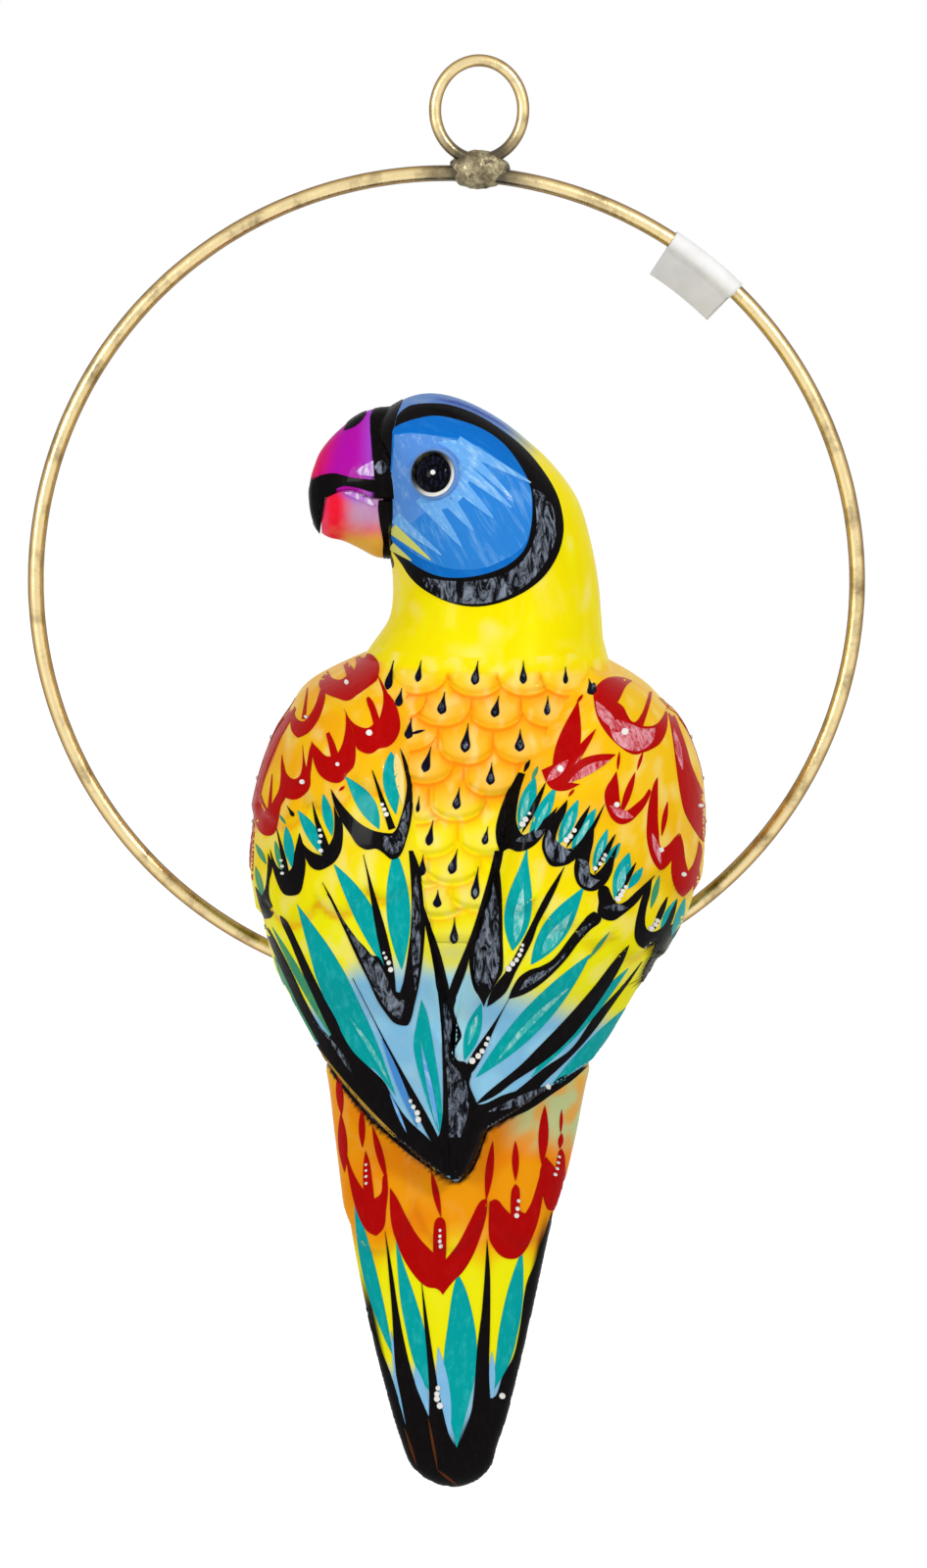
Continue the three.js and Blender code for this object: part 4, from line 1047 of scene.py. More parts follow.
def beak_colours(points, upper):
    """Washes on the upper or the lower half of the beak, with painted highlights: violet on the upper half's
    right, pearl and a violet streak high on the lower half.
    """
    across, down = photo_pixel(points).T
    if upper:
        hook = ease(*HOOK_ROWS, down) * (points[:, 0] < -30)
        return washed(
            points,
            "purple",
            (ease(*VIOLET_SHINE_COLUMNS, across) * 0.75, "violet_shine"),
            (ease(*MAGENTA_COLUMNS, across + (down - MAGENTA_ROW) * 0.25), "magenta"),
            (np.maximum(ease(*UPPER_ROOT_COLUMNS, across), hook), "black"),
        )
    # Painted highlights high on the lower half: pearl towards the right, and a violet streak
    pearl = ease(*PEARL_SHINE_COLUMNS, across) * (1 - ease(*PEARL_SHINE_ROWS, down))
    streak = spot(across, down - (across - SHINE_SPOT[0]) * 0.4, SHINE_SPOT, SHINE_SPREAD)
    return washed(
        points,
        "coral",
        (ease(*ROSE_COLUMNS, across), "rose"),
        (ease(*AMBER_ROWS, down) * ease(*AMBER_COLUMNS, across), "amber"),
        (pearl * 0.9, "pearl"),
        (streak * 0.8, "violet_shine"),
        (ease(*LOWER_ROOT_COLUMNS, across), "black"),
    )


def add_beak():
    tip, root = BEAK_SECTIONS[0][0], BEAK_SECTIONS[-1][0]
    columns = 64
    point_x = tip + BEAK_TIP_DOME * (1 - np.cos(np.linspace(0.05, np.pi / 2, 6)))[:-1]
    upper, lower = [], []
    for x in np.concatenate([point_x, np.linspace(tip + BEAK_TIP_DOME, root, 46)]):
        low = gape_angle(x)
        upper.append(beak_ring(x, np.linspace(low, np.pi - low, columns)))
    for x in np.linspace(LOWER_BEAK_TIP_X, root, 40):
        high = gape_angle(x, -LOWER_BEAK_INSET, GAPE_GAP)
        lower.append(beak_ring(x, np.linspace(-np.pi - high, high, columns), -LOWER_BEAK_INSET))
    for name, rings, slot in (("upper_beak", upper, "purple_paint"), ("lower_beak", lower, "coral_paint")):
        points = np.concatenate(rings)
        faces = tube_faces(len(rings), columns, end=False)
        add_skin(name + "_skin", points, faces, beak_colours(points, rings is upper), (name,))


add_body()
add_mantle()
add_head()
add_wing("left", -1)
add_wing("right", 1)
add_beak()


# Eyes: a glossy pellet in a raised lid

EYE_X, EYE_Z = -3.2, 153.7
PELLET_RADIUS, PELLET_HEIGHT = 5.3, 3.2
LID_RADIUS, LID_TUBE = 6.05, 1.15
EYE_LID_EDGE = 0.75
LID_ROWS, LID_COLUMNS = 96, 20
LID_WHITE, LID_BLUE = (6.4, 6.1), (6.25, 6.55)  # distances from the eye's middle where these begin and end


def head_depth(x, z):
    """How far the head's surface lies from its middle plane."""
    found = smooth(HEAD_SECTIONS, z)[0]
    value = min(1.0, abs((x - found[1]) / found[3]))
    return found[4] * (1 - value**NECK_SQUARENESS) ** (1 / NECK_SQUARENESS)


def on_head(points, side):
    """Leans points with the head's surface at the eye, and puts them there, as the CAD does."""
    reach = LID_RADIUS + EYE_LID_EDGE
    slope_x = (head_depth(EYE_X + reach, EYE_Z) - head_depth(EYE_X - reach, EYE_Z)) / (2 * reach)
    slope_z = (head_depth(EYE_X, EYE_Z + reach) - head_depth(EYE_X, EYE_Z - reach)) / (2 * reach)
    size = math.sqrt(slope_x**2 + 1 + slope_z**2)
    up = math.asin(-slope_z / size)
    forward = math.asin(-slope_x / size / math.cos(up))
    about_x = np.array(Matrix.Rotation(side * up, 3, "X"))
    about_z = np.array(Matrix.Rotation(-side * forward, 3, "Z"))
    middle = np.array([EYE_X, HEAD_MIDDLE_Y + side * head_depth(EYE_X, EYE_Z), EYE_Z])
    return points @ about_x.T @ about_z.T + middle


def add_pellet(word, side):
    rows, columns = 22, 64
    fall = np.linspace(0.03, 1.75, rows)[:, None]
    turns = np.linspace(0, 2 * np.pi, columns, endpoint=False)[None, :]
    x = PELLET_RADIUS * np.sin(fall) * np.cos(turns)
    y = side * PELLET_HEIGHT * np.cos(fall) * np.ones_like(turns)
    z = PELLET_RADIUS * np.sin(fall) * np.sin(turns)
    points = on_head(np.stack([x, y, z], -1).reshape(-1, 3), side)
    faces = tube_faces(rows, columns, end=False)
    if side < 0:
        faces = turned_over(faces)
    name = word + "_eye_pellet"
    add_mesh(name, points, faces, EYE_BLACK_SHEEN, (word + "_eye",))
    skins[name] = (points, faces, vertex_normals(points, faces))


def add_lid(word, side):
    """A lightly lumpy ring round the eye, white inside on its lower half and blue outside."""
    turns = np.linspace(0, 2 * np.pi, LID_ROWS, endpoint=False)[:, None]
    ring = np.linspace(0, 2 * np.pi, LID_COLUMNS, endpoint=False)[None, :]
    reach = LID_RADIUS + LID_TUBE * np.cos(ring)
    y = side * LID_TUBE * np.sin(ring) + 0 * turns
    points = np.stack([reach * np.cos(turns), y, reach * np.sin(turns)], -1).reshape(-1, 3)
    lumps = wobble(points + (0, 40 * side, 0), 1.1, 4.4)
    points = points * (1 + 0.012 * (lumps[:, None] - 0.5))
    faces = ring_faces(LID_ROWS, LID_COLUMNS)
    if side > 0:
        faces = turned_over(faces)
    turn = np.degrees(np.arctan2(points[:, 2], points[:, 0]))
    out = np.linalg.norm(points[:, (0, 2)], axis=1)
    low_right = np.exp(-(((turn + 48) / 80) ** 4))
    white, blue = ease(*LID_WHITE, out) * low_right, ease(*LID_BLUE, out) * 0.92
    colours = washed(points, "black", (white, "white"), (blue, "face_haze"))
    add_skin(word + "_eye_lid", on_head(points, side), faces, colours, (word + "_eye_ring",))


# Thighs and feet

FOOT_MIDDLE_X, FOOT_SPACING = 4, 34
TOES, TOE_PITCH, TOE_DIAMETER = 3, 4.7, 5
TOE_START, TOE_WRAP = -50, 235  # degrees round the rod from its top
BORE_RADIUS = HOOP_ROD / 2 + 0.4
CLAW_FROM = 0.72  # of a toe's length
PALM_RADII = (7.3, 6.6, 5.3)
PALM_MIDDLE = (0, -3.2, 5.6)
THIGH_RADII = (10.5, 12, 12)
THIGH_MIDDLE_Y, THIGH_HEIGHT = -3, 16


def hoop_height(x):
    """How far the hoop has risen at x from its lowest point."""
    return HOOP_RADIUS - math.sqrt(HOOP_RADIUS**2 - x**2)


def ball(radii, rows=30, columns=48, rough=0.0, seed=0.0, pole=0.04):
    """Points and faces of a slightly lumpy ellipsoid."""
    v = np.linspace(pole, np.pi - pole, rows)[:, None]
    u = np.linspace(0, 2 * np.pi, columns, endpoint=False)[None, :]
    unit = np.stack([np.sin(v) * np.cos(u), np.sin(v) * np.sin(u), np.cos(v) * np.ones_like(u)], -1)
    unit = unit.reshape(-1, 3)
    lump = np.array([noise.noise(Vector(p * 2.3 + seed)) + 0.5 * noise.noise(Vector(p * 5.1)) for p in unit])
    return unit * radii * (1 + rough * lump[:, None]), turned_over(tube_faces(rows, columns))


def join_forms(forms):
    """Points and faces of several forms as one."""
    points, faces = [], []
    start = 0
    for own, own_faces in forms:
        points.append(own)
        faces += [tuple(k + start for k in face) for face in own_faces]
        start += len(own)
    return np.concatenate(points), faces


def toe_form(across):
    """One toe wrapped round the rod, ringed with shallow creases, and its claw."""
    steps, sides = 40, 16
    rings = []
    for t in np.linspace(0, 1, steps):
        angle = math.radians(TOE_START + TOE_WRAP * t)
        claw = max(t - CLAW_FROM, 0) / (1 - CLAW_FROM)
        crease = 0.05 * (0.5 + 0.5 * math.cos(t * 44)) * (1 - claw)
        groove = 0.12 * math.exp(-(((t - CLAW_FROM) / 0.02) ** 2))
        radius = TOE_DIAMETER / 2 * (1 - 0.74 * claw**1.2) * (1 - crease - groove)
        away = BORE_RADIUS + TOE_DIAMETER / 2 - 0.4 * (TOE_DIAMETER / 2 - radius)
        turns = np.linspace(0, 2 * np.pi, sides, endpoint=False)
        out = away + radius * np.cos(turns)
        x = across + radius * np.sin(turns)
        rings.append(np.stack([x, out * math.sin(angle), out * math.cos(angle)], -1))
    return np.concatenate(rings), tube_faces(steps, sides)


def add_leg(word, side):
    x = FOOT_MIDDLE_X + side * FOOT_SPACING / 2
    lean = math.asin(x / HOOP_RADIUS)
    cos, sin = math.cos(lean), math.sin(lean)
    turn = np.array([[cos, 0, -sin], [0, 1, 0], [sin, 0, cos]])
    toes = [toe_form((i - (TOES - 1) / 2) * TOE_PITCH) for i in range(TOES)]
    palm, faces = ball(PALM_RADII, rough=0.03)
    points, faces = join_forms(toes + [(palm + PALM_MIDDLE, faces)])
    points = points @ turn.T + (x, 0, hoop_height(x))
    add_mesh(word + "_foot_skin", points, faces, FOOT_PAINT, (word + "_foot",))
    thigh, faces = ball(THIGH_RADII, 40, 64, 0.025, side)
    thigh = thigh + (x, THIGH_MIDDLE_Y, THIGH_HEIGHT + hoop_height(x))
    low = ease(THIGH_HEIGHT - 2, 6, thigh[:, 2] - hoop_height(x))
    colours = washed(thigh, "yellow", (low * 0.8, "warm"))
    add_skin(word + "_thigh_skin", thigh, faces, colours, (word + "_thigh",))


for word, side in (("left", -1), ("right", 1)):
    add_pellet(word, side)
    add_lid(word, side)
    add_leg(word, side)


# Paint: brush strokes as outlines in the photograph's pixels, laid on the skins as thin raised films.
# A stroke's name says its form, and its numbers are x and y of its points, and then its width.

SHARP_TURN = 68  # degrees; a point where an outline turns more than this stays a corner
FILM = 0.09  # thickness of one layer of paint
FOOT_DEPTH = 0.12  # a film's rim goes this far into the skin
MOST_STRETCH = 5  # a film's triangle longer than this spans a gap, and is left out
BEAD_HEIGHT = 0.4  # of a raised dot above its film
STROKE_STEP = 2.6  # pixels between a film's points
BEAD_STEP = 1.3

films = {}  # group and colour: points, faces and normals gathered so far
trees = {}


def turn_at(a, b, c):
    """Degrees that a line turns by at b."""
    before, after = np.subtract(b, a), np.subtract(c, b)
    size = np.linalg.norm(before) * np.linalg.norm(after)
    return math.degrees(math.acos(max(-1.0, min(1.0, float(before @ after) / size)))) if size else 0.0


def curve(outline, step):
    """A closed smooth line through points, with corners where it turns sharply."""
    points = [np.array(p, float) for p in outline]
    count = len(points)
    corner = [turn_at(points[i - 1], points[i], points[(i + 1) % count]) > SHARP_TURN for i in range(count)]
    line = []
    for i in range(count):
        before, start, end, after = (points[(i + k) % count] for k in (-1, 0, 1, 2))
        chord = end - start
        length = np.linalg.norm(chord)
        leave = (end - before) / max(np.linalg.norm(end - before), 1e-9) * length
        arrive = (after - start) / max(np.linalg.norm(after - start), 1e-9) * length
        if corner[i]:
            leave = chord if corner[(i + 1) % count] else 1.5 * chord - 0.5 * arrive
        if corner[(i + 1) % count]:
            arrive = chord if corner[i] else 1.5 * chord - 0.5 * leave
        pieces = max(1, math.ceil(length / step))
        for k in range(pieces):
            t = k / pieces
            t2, t3 = t * t, t * t * t
            place = (2 * t3 - 3 * t2 + 1) * start + (3 * t2 - 2 * t3) * end
            line.append(place + (t3 - 2 * t2 + t) * leave + (t3 - t2) * arrive)
    return np.array(line)


def grouped(numbers, size):
    """A flat row of numbers as rows of the given size."""
    return [numbers[k : k + size] for k in range(0, len(numbers), size)]


def blob(colour, *outline):
    """A painted shape: its colour, its outline as x, y, x, y and so on, and no bead on it."""
    return colour, grouped(outline, 2), 0.0


def strip(colour, root, tip, width, profile, bow=0.0):
    """A stroke from root to tip, bowed sideways, whose half width follows a profile."""
    root, tip = np.array(root, float), np.array(tip, float)
    along = tip - root
    side = np.array([-along[1], along[0]]) / np.linalg.norm(along)
    left, right = [], []
    for t in np.linspace(0, 1, 10):
        middle = root + along * t + side * bow * 4 * t * (1 - t)
        half = width / 2 * profile(t)
        left.append(middle + side * half)
        right.append(middle - side * half)
    return colour, left + right[::-1], 0.0


def leaf(colour, x0, y0, x1, y1, width, belly=0.5, bow=0.0):
    """A stroke pointed at both ends and widest at belly."""
    bend = math.log(0.5) / math.log(belly)

    def profile(t):
        return max(0.03, math.sin(math.pi * t**bend) ** 0.85)

    return strip(colour, (x0, y0), (x1, y1), width, profile, bow)


def spike(colour, x0, y0, x1, y1, width):
    """A stroke that swells from a point to a blunt end."""
    return strip(colour, (x0, y0), (x1, y1), width, lambda t: 0.08 + 0.92 * t**0.8)


def glint(x0, y0, x1, y1, width):
    """A painted highlight: a light streak inside a teal feather that runs from x0, y0 to x1, y1."""
    root, along = np.array((x0, y0)), np.array((x1 - x0, y1 - y0))
    return leaf("foam", *(root + 0.25 * along), *(root + 0.85 * along), width)


def drop(colour, x0, y0, x1, y1, width):
    """A teardrop with a thin tail and a round end."""
    belly = 0.72

    def profile(t):
        if t < belly:
            return 0.06 + 0.94 * (t / belly) ** 1.7
        return max(0.05, math.sqrt(1 - ((t - belly) / (1 - belly)) ** 2))

    return strip(colour, (x0, y0), (x1, y1), width, profile)


def dots(*beads):
    """Raised white dots: middle x, middle y and diameter of each, all in one row."""
    turns = np.linspace(0, 2 * np.pi, 12, endpoint=False)
    return [
        ("white", [(x + size / 2 * math.cos(a), y + size / 2 * math.sin(a)) for a in turns], BEAD_HEIGHT)
        for x, y, size in grouped(beads, 3)
    ]


def tree_of(names):
    """Ray tree over some skins, with their corners and normals."""
    if names not in trees:
        points, normals, triangles = [], [], []
        start = 0
        for name in names:
            own, faces, own_normals = skins[name]
            points.append(own)
            normals.append(own_normals)
            for face in faces:
                if len(face) < 5:
                    corners = [k + start for k in face]
                    triangles += [(corners[0], *corners[k : k + 2]) for k in range(1, len(face) - 1)]
            start += len(own)
        points, normals = np.concatenate(points), np.concatenate(normals)
        tree = BVHTree.FromPolygons([tuple(p) for p in points], triangles, epsilon=0.0)
        trees[names] = (tree, points, normals, triangles)
    return trees[names]


def land(names, origin, direction):
    """Where a ray meets the skins, and their smooth normal there."""
    tree, points, normals, triangles = tree_of(names)
    hit, _, index, _ = tree.ray_cast(Vector(origin), Vector(direction))
    if hit is None:
        return None
    a, b, c = triangles[index]
    place = np.array(hit)
    u, v, w = points[b] - points[a], points[c] - points[a], place - points[a]
    uu, uv, vv, wu, wv = u @ u, u @ v, v @ v, w @ u, w @ v
    area = uu * vv - uv * uv
    if area <= 0:
        return None
    s, t = (vv * wu - uv * wv) / area, (uu * wv - uv * wu) / area
    normal = normals[a] * (1 - s - t) + normals[b] * s + normals[c] * t
    return place, normal / max(np.linalg.norm(normal), 1e-9)


def inside(points, outline, margin):
    """Which points lie inside an outline, at least margin from it."""
    a, b = outline, np.roll(outline, -1, 0)
    x, y = points[:, :1], points[:, 1:]
    crosses = (a[:, 1] > y) != (b[:, 1] > y)
    rise = np.where(b[:, 1] == a[:, 1], 1e-12, b[:, 1] - a[:, 1])
    odd = (crosses & (x < (b[:, 0] - a[:, 0]) * (y - a[:, 1]) / rise + a[:, 0])).sum(1) % 2 == 1
    along = b - a
    t = ((points[:, None, :] - a) * along).sum(2) / np.maximum((along**2).sum(1), 1e-12)
    t = np.clip(t, 0, 1)
    gap = np.linalg.norm(points[:, None, :] - (a + t[..., None] * along), axis=2).min(1)
    return odd & (gap > margin)


def flat_net(outline, step, bead):
    """Triangles that fill an outline: their points, three indexes for each, and the points' bead heights."""
    line = curve(outline, step)
    middle = line.mean(0)
    if bead:
        spots = np.array([middle] + [middle + (p - middle) * k for k in (0.45, 0.8) for p in line])
    else:
        low, high = line.min(0), line.max(0)
        across, down = np.arange(low[0], high[0], step), np.arange(low[1], high[1], step * 0.87)
        grid = [(x + step / 2 * (row % 2), y) for row, y in enumerate(down) for x in across]
        spots = np.array(grid).reshape(-1, 2)
        if len(spots):
            spots = spots[inside(spots, line, step * 0.45)]
    flat = [Vector(p) for p in np.concatenate([line, spots])]
    points, _, triangles, *_ = delaunay_2d_cdt(flat, [], [list(range(len(line)))], 1, 1e-5)
    away = np.linalg.norm(np.array(points) - middle, axis=1) / np.linalg.norm(line - middle, axis=1).max()
    return points, triangles, bead * np.sqrt(np.clip(1 - away**2, 0, 1))


def land_all(names, ray, places, middle, step):
    """Where the rays through places meet the skins; one that misses is tried again nearer the middle."""
    landed = {}
    for i, place in enumerate(np.array(places)):
        hit = land(names, *ray(place))
        inward = (middle - place) / max(1e-6, np.linalg.norm(middle - place))
        for nudge in range(1, 6):
            hit = hit or land(names, *ray(place + inward * nudge * step * 0.4))
        if hit:
            landed[i] = hit
    return landed


def lay(names, ray, stroke, step, group):
    """Lays one stroke's film on the skins, along the rays of a view, with a rim that goes into them."""
    colour, outline, bead = stroke
    places, triangles, swell = flat_net(outline, BEAD_STEP * step / STROKE_STEP if bead else step, bead)
    landed = land_all(names, ray, places, np.mean(outline, 0), step)
    top = {k: place + normal * (FILM * PAINTS[colour][1] + swell[k]) for k, (place, normal) in landed.items()}
    kept = []
    for triangle in triangles:
        if not all(k in landed for k in triangle):
            continue
        a, b, c = (top[k] for k in triangle)
        if max(np.linalg.norm(a - b), np.linalg.norm(b - c), np.linalg.norm(c - a)) > MOST_STRETCH:
            continue
        out = np.cross(b - a, c - a) @ landed[triangle[0]][1]
        kept.append(tuple(triangle) if out > 0 else tuple(reversed(triangle)))
    points, faces, normals = films.setdefault((group, colour), ([], [], []))
    index = {}
    for k in sorted({k for triangle in kept for k in triangle}):
        index[k] = len(points)
        points.append(top[k])
        normals.append(landed[k][1])
    edges = {(a, b) for t in kept for a, b in ((t[0], t[1]), (t[1], t[2]), (t[2], t[0]))}
    foot = {}
    for a, b in sorted(edges):
        if (b, a) in edges:
            continue
        for k in (a, b):
            if k not in foot:
                place, normal = landed[k]
                foot[k] = len(points)
                points.append(place - normal * FOOT_DEPTH)
                normals.append(normal)
        faces.append((index[b], index[a], foot[a], foot[b]))
    faces += [tuple(index[k] for k in triangle) for triangle in kept]


def paint(group, names, strokes, ray=photo_ray, step=STROKE_STEP):
    """Lays strokes, and lists of them, on the skins that have the given names."""
    for stroke in strokes:
        if isinstance(stroke, list):
            paint(group, names, stroke, ray, step)
        else:
            lay(names, ray, stroke, step, group)


def add_films():
    """One mesh for each group of strokes and colour, shaded like the skin below it."""
    for (group, colour), (points, faces, normals) in films.items():
        if faces:
            material, _, slot = PAINTS[colour]
            made = add_mesh(group + "_" + colour + "_strokes", points, faces, material)
            made.data.normals_split_custom_set_from_vertices([tuple(n) for n in normals])


# Strokes of the left wing, from the shoulder down

LEFT_REDS = [
    blob("red", 335, 685, 339, 692, 347, 694, 354, 690, 350, 677, 354, 676, 362, 684, 364, 676, 363, 672,
        370, 669, 377, 667, 383, 671, 387, 679, 385, 693, 380, 698, 366, 708, 355, 715, 343, 712, 333, 708,
        327, 703, 326, 696),
    blob("red", 301, 721, 297, 735, 298, 746, 304, 753, 313, 749, 320, 742, 327, 730, 332, 709, 327, 704,
        321, 722, 314, 733, 311, 736, 305, 735, 301, 730),
    spike("red", 314, 702, 310, 734, 4),
    blob("red", 301, 722, 297, 727, 283, 748, 272, 770, 266, 788, 261, 810, 266, 812, 270, 795, 275, 778,
        283, 760, 293, 742, 302, 724),
    blob("red", 264, 815, 261, 826, 262, 842, 268, 851, 275, 853, 281, 849, 284, 838, 287, 822, 292, 812,
        287, 790, 285, 806, 279, 818, 275, 828, 270, 820, 267, 811),
    spike("red", 278, 790, 275, 830, 4),
    blob("red", 288, 770, 287, 785, 288, 800, 291, 813, 300, 816, 308, 813, 316, 804, 317, 790, 319, 772,
        319, 757, 316, 766, 313, 784, 311, 776, 309, 760, 309, 780, 306, 792, 300, 795, 293, 790, 290, 780),
    blob("red", 318, 757, 320, 775, 326, 790, 337, 798, 348, 798, 355, 789, 361, 782, 363, 768, 361, 750,
        353, 726, 353, 742, 350, 758, 345, 769, 341, 757, 336, 747, 333, 749, 336, 762, 338, 772, 332, 771,
        325, 764),
    leaf("red", 346, 807, 352, 802, 3),
    blob("red", 351, 723, 356, 733, 361, 748, 364, 763, 371, 768, 379, 769, 387, 764, 396, 762, 403, 756,
        408, 744, 407, 730, 402, 716, 394, 706, 391, 707, 391, 718, 387, 734, 381, 717, 376, 711, 374, 714,
        378, 727, 381, 739, 375, 743, 366, 741, 358, 735),
    spike("red", 386, 690, 394, 709, 4),
    leaf("red", 260, 840, 258, 898, 6, 0.5, 3),
    dots(354, 697, 4.5, 313, 732, 3, 309, 798, 5, 345, 780, 4, 377, 748, 6),
]

LEFT_COVERTS = [
    blob("black", 338, 805, 345, 816, 354, 827, 366, 839, 380, 847, 394, 850, 402, 849, 408, 836, 413, 818,
        415, 800, 412, 782, 408, 764, 414, 776, 419, 795, 421, 815, 419, 838, 414, 858, 408, 873, 400, 877,
        392, 871, 384, 866, 374, 867, 365, 862, 357, 850, 349, 838, 341, 820),
    spike("black", 380, 786, 400, 846, 7),
    leaf("teal", 352, 792, 387, 846, 18, 0.55, -3),
    leaf("cream", 404, 768, 411, 822, 9, 0.4),
    leaf("teal", 399, 767, 404, 831, 17, 0.45, 2),
    blob("sheen", 392, 853, 404, 851, 411, 830, 417, 818, 416, 840, 409, 866, 400, 872, 391, 864),
    blob("black", 341, 822, 341, 850, 336, 863, 331, 850, 325, 836, 319, 818, 322, 840, 327, 860, 329, 873,
        320, 870, 312, 864, 307, 857, 311, 872, 317, 884, 325, 888, 334, 885, 342, 879, 348, 868, 350, 852,
        349, 838, 345, 832),
    leaf("teal", 330, 810, 339, 853, 10),
    leaf("teal", 304, 827, 328, 872, 12, 0.5, -2),
    blob("black", 306, 850, 301, 870, 299, 884, 295, 889, 291, 872, 286, 856, 282, 843, 286, 866, 289, 888,
        283, 884, 276, 867, 279, 886, 284, 902, 290, 912, 298, 914, 306, 911, 310, 898, 312, 880, 310, 864),
    leaf("teal", 292, 843, 298, 885, 10),
    leaf("sage", 281, 858, 288, 890, 6),
    drop("black", 293, 822, 300, 833, 4),
    leaf("sage", 285, 831, 292, 841, 2.5),
    blob("black", 274, 871, 278, 884, 275, 900, 275, 915, 279, 928, 277, 936, 270, 937, 265, 922, 261, 905,
        268, 914, 272, 902),
    leaf("sage", 261, 861, 272, 882, 5),
    leaf("sage", 261, 884, 269, 917, 6),
    dots(390, 821, 3.6, 392, 826, 4.2, 394, 831, 5, 327, 847, 3.5, 328, 853, 3.8, 327, 859, 4,
        328, 868, 4.5, 288, 878, 2.6, 289, 884, 3, 289, 891, 3.2),
]

LEFT_FLIGHTS = [
    leaf("black", 371, 872, 404, 1016, 10, 0.65),
    blob("black", 329, 900, 338, 915, 350, 938, 361, 955, 372, 966, 380, 975, 386, 976, 392, 985, 397, 996,
        402, 1010, 408, 1013, 412, 1000, 416, 975, 419, 950, 420, 920, 419, 895, 417, 868, 421, 868,
        428, 888, 433, 935, 433, 955, 429, 995, 423, 1025, 417, 1045, 410, 1046, 402, 1043, 395, 1035,
        385, 1020, 376, 1000, 366, 980, 350, 945),
    blob("black", 430, 918, 437, 938, 444, 957, 450, 975, 455, 995, 458, 1012, 452, 1020, 446, 1010,
        443, 990, 439, 968, 434, 945),
    blob("black", 286, 934, 293, 940, 304, 962, 317, 990, 331, 1018, 345, 1044, 352, 1066, 342, 1060,
        333, 1044, 321, 1018, 309, 992, 297, 962, 288, 942),
    blob("black", 270, 943, 276, 950, 288, 972, 300, 996, 312, 1022, 328, 1050, 340, 1066, 331, 1074,
        319, 1052, 306, 1028, 293, 1000, 281, 974, 272, 952),
    blob("black", 340, 1054, 347, 1050, 360, 1072, 378, 1090, 392, 1104, 402, 1122, 416, 1142, 440, 1165,
        458, 1190, 468, 1203, 455, 1202, 440, 1193, 420, 1179, 395, 1158, 370, 1133, 350, 1110, 335, 1088,
        324, 1066, 332, 1062),
    leaf("ochre", 322, 1064, 452, 1199, 3, 0.5, 8),
    leaf("sage", 278, 946, 344, 1066, 8),
    leaf("sage", 280, 976, 328, 1078, 10),
    blob("teal", 303, 922, 322, 947, 337, 968, 352, 993, 365, 1020, 378, 1048, 389, 1075, 396, 1095,
        404, 1118, 393, 1104, 383, 1092, 370, 1085, 357, 1068, 343, 1043, 331, 1018, 322, 995, 316, 972,
        310, 950),
    leaf("black", 360, 998, 456, 1187, 9, 0.8),
    leaf("blue", 390, 1060, 426, 1150, 7),
    leaf("light", 398, 1115, 415, 1155, 3),
    blob("teal", 430, 1020, 436, 1035, 441, 1060, 446, 1090, 450, 1120, 451, 1140, 449, 1158, 440, 1135,
        432, 1110, 425, 1085, 422, 1065, 425, 1045),
    leaf("light", 430, 1068, 448, 1152, 5),
    leaf("teal", 403, 866, 410, 989, 24),
    leaf("teal", 341, 882, 397, 994, 21, 0.5, -5),
    blob("sheen", 334, 912, 350, 938, 372, 968, 386, 982, 396, 1000, 404, 1018, 414, 1020, 409, 1040,
        398, 1032, 384, 1012, 368, 976, 350, 940),
    leaf("sheen", 424, 890, 424, 1010, 9),
    leaf("sheen", 320, 1042, 360, 1096, 4, 0.7, -3),
    leaf("sheen", 401, 1121, 414, 1154, 3.5),
    leaf("foam", 357, 1038, 398, 1106, 4.5, 0.5, -2),
    leaf("foam", 429, 1060, 446, 1150, 4.5),
    dots(392, 972, 2.8, 394, 977, 3.6, 397, 982, 4.6, 399, 989, 5.2, 419, 1123, 3.8, 422, 1129, 4.6,
        426, 1135, 5.4, 427, 1142, 6),
]


# Strokes of the right wing

